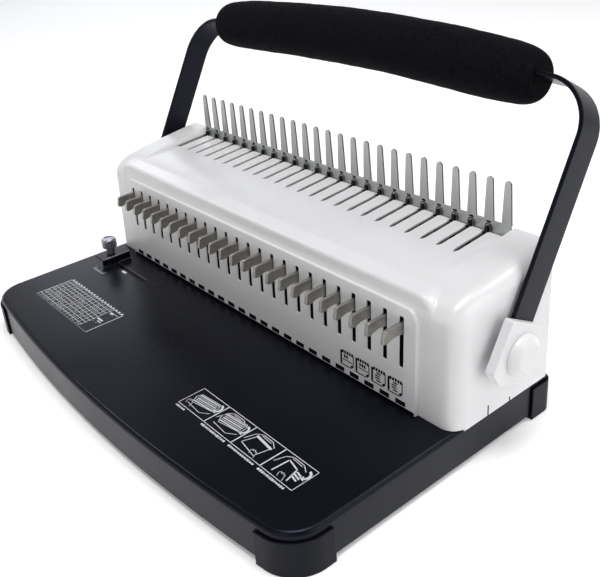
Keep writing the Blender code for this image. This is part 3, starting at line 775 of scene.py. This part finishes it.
def grip_radius(x):
    """Radius of the foam: pinched at the ends, swollen in the middle."""
    inside = GRIP_HALF - abs(x - GRIP_MIDDLE)
    places, radii = zip(*GRIP_PROFILE)
    window = min(5.0, 0.30 * inside + 0.3)
    samples = [np.interp(inside + window * t, places, radii) for t in (-1.0, -0.5, 0.0, 0.5, 1.0)]
    return float(sum(samples)) / len(samples)


def dent(x, angle):
    """Slow unevenness of the foam, in millimetres."""
    return (0.14 * sin(x * 0.051 + 2.0 * angle) + 0.10 * sin(x * 0.113 - 3.0 * angle + 1.3)
            + 0.05 * sin(x * 0.27 + 5.0 * angle + 0.4) + 0.04 * sin(x * 0.49 - 4.0 * angle))


def make_grip():
    """Foam sleeve on the cross bar, its ends drawn in round the flat bar."""
    around = 96
    half_bar = ARM_OUTER - BEND_RADIUS
    count = 150
    ends = [0.0, 0.5, 1.2, 2.2, 3.4, 5.0]
    stations = [GRIP_MIDDLE - GRIP_HALF + e for e in ends]
    low, high = stations[-1], GRIP_MIDDLE + GRIP_HALF - ends[-1]
    stations += [low + (high - low) * i / count for i in range(1, count)]
    stations += [GRIP_MIDDLE + GRIP_HALF - e for e in reversed(ends)]
    rings = []
    for x in stations:
        rise = BAR_RISE - BAR_THICK / 2 + BAR_ARCH * max(1 - (x / half_bar) ** 2, 0.0)
        y, z = arm_point(rise, 0.0)
        z -= GRIP_SAG * float(smooth_step(x, 0.0, 150.0))
        ring = []
        for i in range(around):
            angle = 2 * pi * i / around
            radius = grip_radius(x) + dent(x, angle)
            ring.append(Vector((x, y + radius * cos(angle), z + radius * sin(angle))))
        rings.append(ring)
    grip = to_object("foam_grip", loft(rings))
    cut(grip, loft(bar_rings(BAR_THICK + 0.5, BAR_WIDE + 0.5, 0.8)))
    dress(grip, "foam", "handle", ("grip",), sharp=50.0)


def make_hubs():
    """Moulded cover on the end of the shaft, and the round cap on it."""
    corners = [(20, -21), (20, 15), (-21, 15), (-21, -12), (-15, -22)]
    outline = rounded([arm_point(along, across) for along, across in corners], 2.2, 5)
    for side, name in ((-1, "left"), (1, "right")):
        ends = sorted((side * HUB_INNER, side * HUB_OUTER))
        hub = to_object(f"hub_cover_{name}", prism(outline, "X", *ends))
        cut(hub, turned("X", (SHAFT_Y, SHAFT_Z), [(side * 209.0, 6.3), (side * 215.6, 6.3)]))
        dress(hub, "white", "handle", (f"hub_{name}",), bevel=1.1, segments=4,
              corner=50.0)
        stations = [(HUB_OUTER + 0.02, 14.0), (HUB_OUTER + 0.4, 14.3), (HUB_OUTER + 2.6, 13.9),
                    (HUB_OUTER + 3.6, 13.2), (HUB_OUTER + 5.6, 10.8), (HUB_OUTER + 6.2, 10.0),
                    (HUB_OUTER + 6.4, 9.0), (HUB_OUTER + 6.4, 5.0)]
        cap = turned("X", (SHAFT_Y, SHAFT_Z), [(side * x, radius) for x, radius in stations], 72)
        cap = to_object(f"hub_button_{name}", cap)
        dress(cap, "white", "handle", (f"hub_cap_{name}",), sharp=50.0)


# --- comb opener and tabs ---

def make_tines():
    """Comb of fixed tines; under each one, an arched rib round a slit, and an oval dimple; the rib's
    groove, the slit and the dimple take painted shade.
    """
    half_root, half_tip, fillet = 3.9, 2.5, 0.4
    root, tip, strip = 99.3, 129.7, 30.0
    half = 175.0
    top = []
    for x in reversed(TINE_X):
        top += arc((x + half_root + fillet, root + fillet), fillet, 270, 180, 4)
        top += arc((x, tip - half_tip), half_tip, 0, 180, 12)
        top += arc((x - half_root - fillet, root + fillet), fillet, 0, -90, 4)
    outline = [(-half, strip), (half, strip), (half, root)] + top[2:-2] + [(-half, root)]
    plate = to_object("tine_comb", prism(outline, "Y", 94.0, 95.4))
    plate.data.materials.append(MATERIALS["tine"])
    ribs, grooves, recesses = bmesh.new(), bmesh.new(), bmesh.new()
    for x in HOOK_X:
        for outline, radius in ((grooves, 3.1), (ribs, 2.35)):
            arch = [(x - radius, 84.0), (x + radius, 84.0)] + arc((x, 93.9), radius, 0, 180, 12)
            prism(arch, "Y", 93.0 if outline is grooves else 93.65, 94.5, outline)
        slit = [(x - 1.0, 82.0), (x + 1.0, 82.0), (x + 1.0, 93.4), (x, 95.4), (x - 1.0, 93.4)]
        prism(slit, "Y", 93.0, 95.0, recesses)
        oval = arc((x + 1.2, 98.0), 0.7, -90, 90, 5) + arc((x - 1.2, 98.0), 0.7, 90, 270, 5)
        prism(oval, "Y", 93.0, 95.0, recesses)
    # The grooves round the ribs, the slits and the dimples take the near-black material: painted shade.
    cut(plate, grooves, "painted_light")
    combine(plate, ribs, "UNION")
    cut(plate, recesses, "painted_light")
    # The tines' side faces take a darker steel than their fronts.
    plate.data.materials.append(MATERIALS["darker_side"])
    darker_side = len(plate.data.materials) - 1
    for face in plate.data.polygons:
        if abs(face.normal.x) > 0.9 and face.center.z > place((0, 0, root)).z:
            face.material_index = darker_side
    dress(plate, "tine", "root", ("tine_plate",), bevel=0.2, segments=2)


def make_hooks():
    """The sliding hook plate: one thin hook in front of every tine but the last."""
    plate = to_object("hook_slider", block((-175.5, 84, 62), (175.5, 91, 66)))
    hook = [(89.6, 64), (93.3, 64), (93.3, 94.6)] + arc((92.3, 94.6), 1.0, 0, 180, 8)
    hook += [(91.3, 92.0), (89.6, 89.0)]
    hooks = bmesh.new()
    for x in HOOK_X:
        prism(hook, "X", x - 0.9, x + 0.9, hooks)
    combine(plate, hooks, "UNION")
    pin_y = SHAFT_Y + 20.2 * sin(radians(40.0))
    lug = [(88, 63), (88, 71), (56, 71), (56, 53), (pin_y - 4, 53), (pin_y - 4, 67),
           (pin_y + 4, 67), (pin_y + 4, 53), (74, 53), (80, 63)]
    lugs = bmesh.new()
    for side in (-1, 1):
        prism(lug, "X", *sorted((side * 170.0, side * 174.0)), lugs)
    combine(plate, lugs, "UNION")
    # Near-black steel: painted shade, so the hooks read as dark as the shade round them.
    dress(plate, "dark_tool", "hooks", ("hook_plate",), bevel=0.2, segments=2)


def tab_outline():
    """Side view of a pull tab: straight top, blunt nose, shallow finger hollow below."""
    points = [(20, 55.5), (20, 63.7)]
    points += arc((-10.9, 61.2), 2.5, 90, 168, 6)
    points += arc((-13.2, 56.1), 1.2, 190, 262, 4)
    points += [(-12.0, 54.6), (-10.6, 54.55), (-9.4, 54.8), (-8.0, 55.4), (-6.4, 55.95), (-4.6, 56.3),
               (-2.6, 56.35), (-0.6, 56.1), (1.6, 55.5)]
    return points


def make_tabs():
    for index, x in enumerate(SLOT_X):
        name = f"release_tab_{index + 1:02d}"
        tab = to_object(f"pull_{name}", prism(tab_outline(), "X", x - 1.35, x + 1.35))
        dress(tab, "tab", f"tab_{index + 1:02d}", (name,), bevel=0.35)


# --- works inside the casing ---

def refine(node, surface, body, bevel=0.3):
    """A finer stand-in for a CAD node: the same shape with its edges broken."""
    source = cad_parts[node]
    bm = bmesh.new()
    bm.from_mesh(source.data)
    bmesh.ops.remove_doubles(bm, verts=bm.verts, dist=1e-6)
    bmesh.ops.dissolve_limit(bm, angle_limit=radians(0.5), verts=bm.verts, edges=bm.edges)
    piece = from_bmesh(f"fine_{node}", bm)
    dress(piece, surface, body, (node,), bevel=bevel, segments=2)


def make_works():
    """Frames, bearings, shaft, cams, levers, dies, beam, rails and nut."""
    for side in ("left", "right"):
        refine(f"side_frame_{side}", "zinc", "root")
        refine(f"bushing_{side}", "bronze", "root", 0.2)
        refine(f"cam_{side}", "tool", "handle")
        refine(f"opener_lever_{side}", "zinc", "handle")
    refine("main_shaft", "tool", "handle", 0.5)
    # Die bar, guide bar, beam, front rail and nut take near-black steel: painted shade for what shows
    # through the slots and openings.
    refine("die_bar", "dark_tool", "root")
    refine("guide_bar", "dark_tool", "root")
    refine("punch_pins", "tool", "punch", 0.15)
    refine("punch_beam", "dark_tool", "punch", 0.4)
    refine("drawer_rail_front", "dark_tool", "root", 0.4)
    refine("drawer_rail_back", "zinc", "root", 0.4)
    refine("clamp_nut", "dark_tool", "edge_guide", 0.4)


def make_springs():
    """Coil springs, which shorten as the beam comes down; these are built at one length."""
    wire, radius, turns, steps = 0.45, 2.7, 8, 20
    low, high = SPRING_FOOT + GAP + wire, SPRING_HEAD - GAP - wire
    for side, name in ((-1, "left"), (1, "right")):
        centre = Vector((side * 150.0, 22.0, 0.0))
        rings = []
        for step in range(turns * steps + 1):
            turn = 2 * pi * step / steps
            outward = Vector((cos(turn), sin(turn), 0.0))
            rise = (high - low) * step / (turns * steps)
            middle = centre + outward * radius + Vector((0.0, 0.0, low + rise))
            along = Vector((-sin(turn), cos(turn), (high - low) / (turns * 2 * pi * radius)))
            square = along.normalized().cross(outward)
            rings.append([middle + outward * x + square * y for x, y in circle((0, 0), wire, 10)])
        spring = to_object(f"coil_spring_{name}", loft(rings))
        dress(spring, "spring", "root", (f"return_spring_{name}",), sharp=60.0)
        spring.modifiers.clear()
        place((0, 0, SPRING_FOOT))
        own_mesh(spring)


# --- drawer and edge guide ---

def make_drawer():
    """Chip drawer: a thin-walled tray whose left end carries a finger hollow."""
    low, high = Vector((-205.2, -1.7, -25.7)), Vector((182.0, 45.7, -6.3))
    outline = rounded(rectangle(low[:2], high[:2]), 1.2, 4)
    drawer = to_object("chip_tray", prism(outline, "Z", low.z, high.z))
    inside = rounded(rectangle((low.x + 2, low.y + 2), (high.x - 2, high.y - 2)), 1.5, 4)
    cut(drawer, prism(inside, "Z", low.z + 1.5, 0))
    pull = [(low.x - 1.0, -13.0), (low.x - 1.0, -20.0), (low.x + 1.1, -19.0), (low.x + 1.1, -14.0)]
    cut(drawer, prism(pull, "Y", 12.0, 32.0))
    dress(drawer, "black_plastic", "drawer", ("chip_drawer",), bevel=0.4,
          corner=35.0)


def make_edge_guide():
    """Folded angle with a rounded bend, and its thumb screw; the clamp under the deck is made with the
    works.
    """
    outer = arc((-172.6, 5.9), 1.6, 0, 90, 6)
    inner = arc((-172.6, 5.9), 0.4, 90, 0, 4)
    angle = [(-171.0, GAP)] + outer + [(-185.0, 7.5), (-185.0, 6.3)] + inner + [(-172.2, GAP)]
    bracket = to_object("edge_angle", prism(angle, "Y", -36.0, -8.0))
    cut(bracket, turned("Z", (SCREW_X, GUIDE_Y), [(-2, 2.4), (12, 2.4)], 32))
    bracket.data.materials.append(MATERIALS["coat"])
    bracket.data.materials.append(MATERIALS["bracket"])
    # The upper faces of the bend's outer rounding take light bare steel, the rest black coat: a painted
    # highlight along the bend.
    for face in bracket.data.polygons:
        sloped = 0.15 < face.normal.z < 0.98 and face.normal.x > 0.1
        face.material_index = 1 if sloped and face.center.z > place((0, 0, 6.0)).z else 0
    dress(bracket, "bracket", "edge_guide", ("guide_bracket",), bevel=0.22,
          segments=2, corner=60.0)
    make_thumb_screw()


def make_thumb_screw():
    """Turned neck and a straight-knurled head with a dished top."""
    teeth, steps = 44, 4
    count = teeth * steps
    below = [(-8.0, 1.6), (-7.6, 2.0), (7.8, 2.0), (7.8, 3.4), (8.0, 3.75), (13.9, 3.75), (14.4, 4.2),
             (14.4, 5.9), (14.6, 6.35), (15.0, 6.62)]
    knurl = [(15.3, 6.6), (21.3, 6.6)]
    above = [(21.6, 6.62), (22.1, 6.5), (22.7, 6.1), (23.0, 5.5), (23.0, 4.6), (22.75, 4.1), (22.7, 2.0)]
    rings = []
    for height, radius in below + knurl + above:
        knurled = (height, radius) in knurl
        ring = []
        for i in range(count):
            angle = 2 * pi * i / count
            tooth = (0.08, 0.0, -0.12, 0.0)[i % steps] if knurled else 0.0
            reach = radius + tooth
            ring.append(Vector((SCREW_X + reach * cos(angle), GUIDE_Y + reach * sin(angle), height)))
        rings.append(ring)
    screw = to_object("knurled_screw", loft(rings))
    dress(screw, "screw", "guide_screw", ("thumb_screw",), sharp=35.0)


# --- printed marks ---

INK = 0.03                         # thickness of a print
LIFT = 0.004                       # its clearance over the coat


def patch(bm, corners, lay):
    """A thin raised shape on a sheet; lay maps the sheet's points to space."""
    loft([[lay(x, y, height) for x, y in corners] for height in (0.0, INK)], bm)


def stroke(bm, start, end, wide, lay):
    """A bar between two points of a sheet."""
    run = Vector(end) - Vector(start)
    side = Vector((-run.y, run.x)).normalized() * wide / 2
    patch(bm, [Vector(start) + side, Vector(start) - side, Vector(end) - side, Vector(end) + side], lay)


def dash(bm, start, end, level, wide, lay):
    """A bar straight across a sheet."""
    stroke(bm, (start, level), (end, level), wide, lay)


def stroke_path(bm, points, wide, lay, closed=False):
    ends = list(points[1:]) + ([points[0]] if closed else [])
    for start, end in zip(points, ends):
        run = (Vector(end) - Vector(start)).normalized() * wide / 2
        stroke(bm, Vector(start) - run * 0.8, Vector(end) + run * 0.8, wide, lay)


def on_deck(x, y, height):
    return Vector((x, y, LIFT + height))


def on_panel(x, z, height):
    """A point of the leaning front panel, x across it and z up."""
    return Vector((x, z * tan(LEAN) - LIFT - height, z))


def print_piece(name, bm, ink):
    piece = to_object(name, bm)
    piece.data.materials.append(MATERIALS[ink])
    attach(piece, "root")


def print_table():
    """Size table at the deck's left: a ruled grid of short dashes, with a dotted back edge."""
    rng = np.random.default_rng(7)
    bm = bmesh.new()
    left, right, near, far = -171.3, -79.3, -101.2, -67.6
    stroke_path(bm, rectangle((left, near), (right, far)), 0.7, on_deck, closed=True)
    columns, rows = 19, 9
    step_x, step_y = (right - left) / columns, (far - near) / rows
    for column in range(columns):
        x = left + step_x * (column + 0.5)
        dash(bm, x - 1.1, x + 1.1, far + 1.1, 1.3, on_deck)
    for row in range(rows):
        y = far - step_y * (row + 0.5)
        end = right if row in (0, rows - 1) else right - (14.0 if row < 4 else 13.0)
        dash(bm, left, end, y - step_y / 2, 0.5, on_deck)
        for column in range(columns - (3 if row in (2, 3, 6, 7) else 1)):
            x = left + step_x * (column + 0.5)
            half = 0.4 + 0.5 * rng.random()
            if rng.random() < 0.5:
                dash(bm, x - half, x + half, y, 0.4 + 0.4 * rng.random(), on_deck)
    for column in range(columns - 3):
        x = left + step_x * (column + 1)
        stroke(bm, (x, far), (x, near), 0.46, on_deck)
    dash(bm, right - 12.0, right - 7.5, -72.4, 2.0, on_deck)
    dash(bm, right - 13.0, right - 5.0, -83.5, 1.8, on_deck)
    dash(bm, right - 9.0, right - 3.5, -86.0, 1.0, on_deck)
    print_piece("deck_table_print", bm, "white_ink")


def machine_drawing(bm, at):
    """The machine seen from its front: body with rows of slots, and the deck's edge."""
    body = [at(7, 6.8), at(3.6, 12.4), at(5.4, 16.2), at(24.2, 18.0), at(26.2, 14.4), at(26.0, 10.0)]
    stroke_path(bm, body, 0.5, on_deck, closed=True)
    for row in range(5):
        low, high = at(6.4 - 0.3 * row, 8.6 + 1.6 * row), at(25.0 - 0.2 * row, 10.4 + 1.6 * row)
        stroke(bm, low, high, 0.55 if row % 2 else 1.0, on_deck)


def handle_drawing(bm, at):
    bail = [at(2.4, 9.0), at(5.0, 16.6), at(9.0, 19.4), at(19.0, 19.2), at(24.0, 16.0)]
    stroke_path(bm, bail, 0.55, on_deck)
    stroke_path(bm, [at(9.5, 18.2), at(19.0, 17.6)], 0.45, on_deck)


def arrow_drawing(bm, at, centre):
    """A broad curved arrow that points down and back to the left."""
    middle = (centre[0] - 2.4, centre[1] - 1.5)
    ribbon = arc(middle, 4.7, -50, 80, 8) + arc(middle, 3.1, 80, -50, 8)
    barb = [arc(middle, radius, -50, 0, 1)[0] for radius in (6.2, 1.6)] + [arc(middle, 4.0, -96, 0, 1)[0]]
    for outline in (ribbon, barb):
        patch(bm, [at(*point) for point in outline], on_deck)


def hand_drawing(bm, at, x, y):
    outline = [(0, 0), (-1.4, 2.4), (-0.4, 4.2), (0.6, 3.0), (1.4, 4.6), (2.4, 3.0), (3.4, 3.8),
               (4.4, 1.4), (5.4, -1)]
    stroke_path(bm, [at(x + px, y + py) for px, py in outline], 0.4, on_deck)


def step_drawing(bm, left, low, kind):
    """One line drawing of a step: punching, opening, threading or laying the page."""
    def at(x, y):
        return (left + x, low + y)
    if kind < 2:
        machine_drawing(bm, at)
        stroke_path(bm, [at(5.0, 4.4), at(20.0, 3.0), at(26.4, 7.4)], 0.45, on_deck)
    if kind == 0:
        hand_drawing(bm, at, 3.6, 3.6)
        arrow_drawing(bm, at, (27.0, 16.0))
    if kind == 1:
        handle_drawing(bm, at)
        arrow_drawing(bm, at, (27.4, 15.0))
    if kind == 2:
        handle_drawing(bm, at)
        stroke(bm, at(6.8, 16.0), at(23.6, 14.0), 1.8, on_deck)
        stroke_path(bm, [at(7.4, 15.0), at(4.0, 5.6), at(20.0, 2.6), at(22.6, 13.4)], 0.6, on_deck)
        hand_drawing(bm, at, 16.0, 2.4)
    if kind == 3:
        handle_drawing(bm, at)
        stroke_path(bm, [at(8.0, 3.0), at(9.0, 16.0), at(19.0, 13.6), at(21.4, 3.4)], 1.0, on_deck)
        for row in range(3):
            stroke(bm, at(20.4, 8.0 + 2.2 * row), at(26.0, 6.6 + 2.2 * row), 1.2, on_deck)
        hand_drawing(bm, at, 14.0, 2.0)
        arrow_drawing(bm, at, (27.4, 15.6))


def print_steps():
    """Four framed pictures of the steps of use, each over a dashed line."""
    rng = np.random.default_rng(3)
    bm = bmesh.new()
    left, low, wide, high = 53.3, -98.5, 30.0, 21.2
    stroke_path(bm, rectangle((left, low), (left + 4 * wide, low + high)), 0.5, on_deck, closed=True)
    for index, length in enumerate((10.5, 26.0, 27.0, 26.0)):
        x = left + index * wide
        if index:
            stroke(bm, (x, low), (x, low + high), 0.9, on_deck)
        step_drawing(bm, x, low, index)
        place_x = x + 0.8
        while place_x < x + length:
            long = 0.7 + 1.3 * rng.random()
            dash(bm, place_x, place_x + long, low - 2.4, 1.1 + 0.8 * rng.random(), on_deck)
            place_x += long + 0.45
    print_piece("deck_step_print", bm, "white_ink")


def print_scale():
    """Centre scale beside the guide's slot, and its white index."""
    bm = bmesh.new()
    for index in range(9):
        length = 4.0 if index % 4 == 0 else 2.4
        x = -178.0 + index * 2.2
        stroke(bm, (x, -43.0), (x, -43.0 + length), 0.45, on_deck)
    dash(bm, -178.2, -160.2, -43.0, 0.45, on_deck)
    dash(bm, -151.8, -145.2, -27.5, 2.6, on_deck)
    print_piece("deck_scale_print", bm, "white_ink")


def page_mark(bm, left, low, wide, high, kind):
    """A small page: binding dots along the top, a heavy left edge and a folded corner."""
    right, top, fold = left + wide, low + high, 2.4
    stroke(bm, (left + 0.8, low + 0.6), (left + 0.8, top), 1.8, on_panel)
    dash(bm, left, right - fold, low, 0.85, on_panel)
    stroke(bm, (right, low + fold), (right, top - 0.4), 0.9, on_panel)
    stroke(bm, (right - fold, low + 0.7), (right - 0.4, low + fold), 1.9, on_panel)
    for dot in range(5):
        x = left + 2.6 + dot * (wide - 3.6) / 4
        stroke(bm, (x - 0.85, top - 0.1), (x + 0.85, top - 0.5), 2.5, on_panel)
    if kind < 2:
        dash(bm, left + 2.4, right - 1.0, low + 4.4, 0.8, on_panel)
        for index in range(2 + kind):
            x = left + 3.6 + index * 2.2
            stroke(bm, (x, low + 7.0), (x + 1.6, low + 7.4), 2.5, on_panel)
    else:
        for row in range(4):
            x = left + 3.4 + (1.3 if row in (0, 3) else 0.2)
            dash(bm, x, x + 4.2, low + 2.3 + 1.9 * row, 1.1, on_panel)


def print_panel_marks():
    """Dashes under the slots show which pins punch; four page marks stand at the right."""
    bm = bmesh.new()
    for x in SLOT_X:
        dash(bm, x - 4.4, x + 4.4, 4.9, 3.6, on_panel)
    for index in range(4):
        page_mark(bm, 108.0 + 15.0 * index, 9.2, 12.8, 10.8, index)
    print_piece("panel_marks", bm, "black_ink")


# --- studio ---

def make_floor():
    """A plain pale floor."""
    bm = bmesh.new()
    near, far = [[bm.verts.new((x, y, -0.0002)) for x in (-9.0, 9.0)] for y in (-6.0, 8.0)]
    bm.faces.new((near[0], near[1], far[1], far[0]))
    floor = from_bmesh("floor", bm)
    paint = new_material("pale_floor", (0.95, 0.95, 0.95), 0.9, specular=0.1)
    shader_of(paint).inputs["Emission Color"].default_value = (1.0, 1.0, 1.0, 1.0)
    shader_of(paint).inputs["Emission Strength"].default_value = 0.23
    floor.data.materials.append(paint)


def area_light(name, location, target, size, watts, colour):
    light = bpy.data.lights.new(name, "AREA")
    light.shape = "RECTANGLE"
    light.size, light.size_y = size
    light.energy = watts
    light.color = colour
    lamp = link(name, light)
    lamp.location = location
    lamp.rotation_euler = (Vector(target) - Vector(location)).to_track_quat("-Z", "Y").to_euler()


def make_world():
    """White surroundings low down, dim higher up and to the front right."""
    world = bpy.data.worlds.new("studio")
    world.use_nodes = True
    nodes, links = world.node_tree.nodes, world.node_tree.links
    background = nodes["Background"]
    coordinates = nodes.new("ShaderNodeTexCoord")
    split = nodes.new("ShaderNodeSeparateXYZ")
    ramp = nodes.new("ShaderNodeValToRGB")
    links.new(coordinates.outputs["Generated"], split.inputs["Vector"])
    links.new(split.outputs["Z"], ramp.inputs["Fac"])
    facing = nodes.new("ShaderNodeVectorMath")
    facing.operation = "DOT_PRODUCT"
    facing.inputs[1].default_value = (0.80, -0.60, 0.0)
    links.new(coordinates.outputs["Generated"], facing.inputs[0])
    shade = nodes.new("ShaderNodeMapRange")
    shade.interpolation_type = "SMOOTHSTEP"
    for name, number in (("From Min", 0.50), ("From Max", 0.95), ("To Min", 1.0), ("To Max", 0.12)):
        shade.inputs[name].default_value = number
    links.new(facing.outputs["Value"], shade.inputs["Value"])
    dimmed = nodes.new("ShaderNodeVectorMath")
    dimmed.operation = "SCALE"
    links.new(ramp.outputs["Color"], dimmed.inputs[0])
    links.new(shade.outputs["Result"], dimmed.inputs["Scale"])
    links.new(dimmed.outputs["Vector"], background.inputs["Color"])
    low, high = ramp.color_ramp.elements
    low.position, low.color = 0.34, (0.78, 0.78, 0.78, 1.0)
    high.position, high.color = 0.56, (0.06, 0.06, 0.065, 1.0)
    background.inputs["Strength"].default_value = 1.0
    bpy.context.scene.world = world


def make_studio():
    make_floor()
    make_world()
    bpy.context.scene.view_settings.view_transform = "Standard"
    white, cool = (1.0, 1.0, 1.0), (0.88, 0.91, 1.0)
    for name, location, size, watts, colour in (
            ("overhead", (0.35, -0.15, 2.5), (1.3, 0.9), 41.0, white),
            ("corner", (0.96, 1.17, 1.67), (0.6, 0.7), 9.5, white),
            ("right", (1.45, 0.35, 0.7), (0.8, 0.7), 4.0, white),
            ("front", (0.7, -1.35, 0.75), (0.8, 0.6), 2.2, white),
            ("edges", (-1.58, -0.22, 1.6), (0.5, 0.35), 6.0, white),
            ("left_card", (-2.0, 1.25, 0.80), (1.5, 0.8), 5.5, cool)):
        area_light(name, location, (0.0, -0.02, 0.08), size, watts, colour)


def make_camera():
    """Camera at the photographed angle: right, up and back are its axes."""
    right = Vector((0.6295, 0.7727, -0.0812))
    up = Vector((-0.2926, 0.3326, 0.8965))
    back = Vector((0.7198, -0.5406, 0.4354))
    data = bpy.data.cameras.new("camera")
    data.lens = 50.0
    data.sensor_width = 36.0
    data.shift_x = 0.0258
    data.shift_y = -0.0647
    data.clip_start = 0.01
    camera = link("camera", data)
    turn = Matrix((right, up, back)).transposed().to_4x4()
    camera.matrix_world = Matrix.Translation(place((473.775, -313.608, 331.652))) @ turn
    bpy.context.scene.camera = camera


make_camera()
make_base()
make_feet()
make_casing()
make_rear_panel()
make_works()
make_springs()
make_tabs()
make_tines()
make_hooks()
make_bar()
make_grip()
make_hubs()
make_drawer()
make_edge_guide()
print_table()
print_steps()
print_scale()
print_panel_marks()
make_studio()
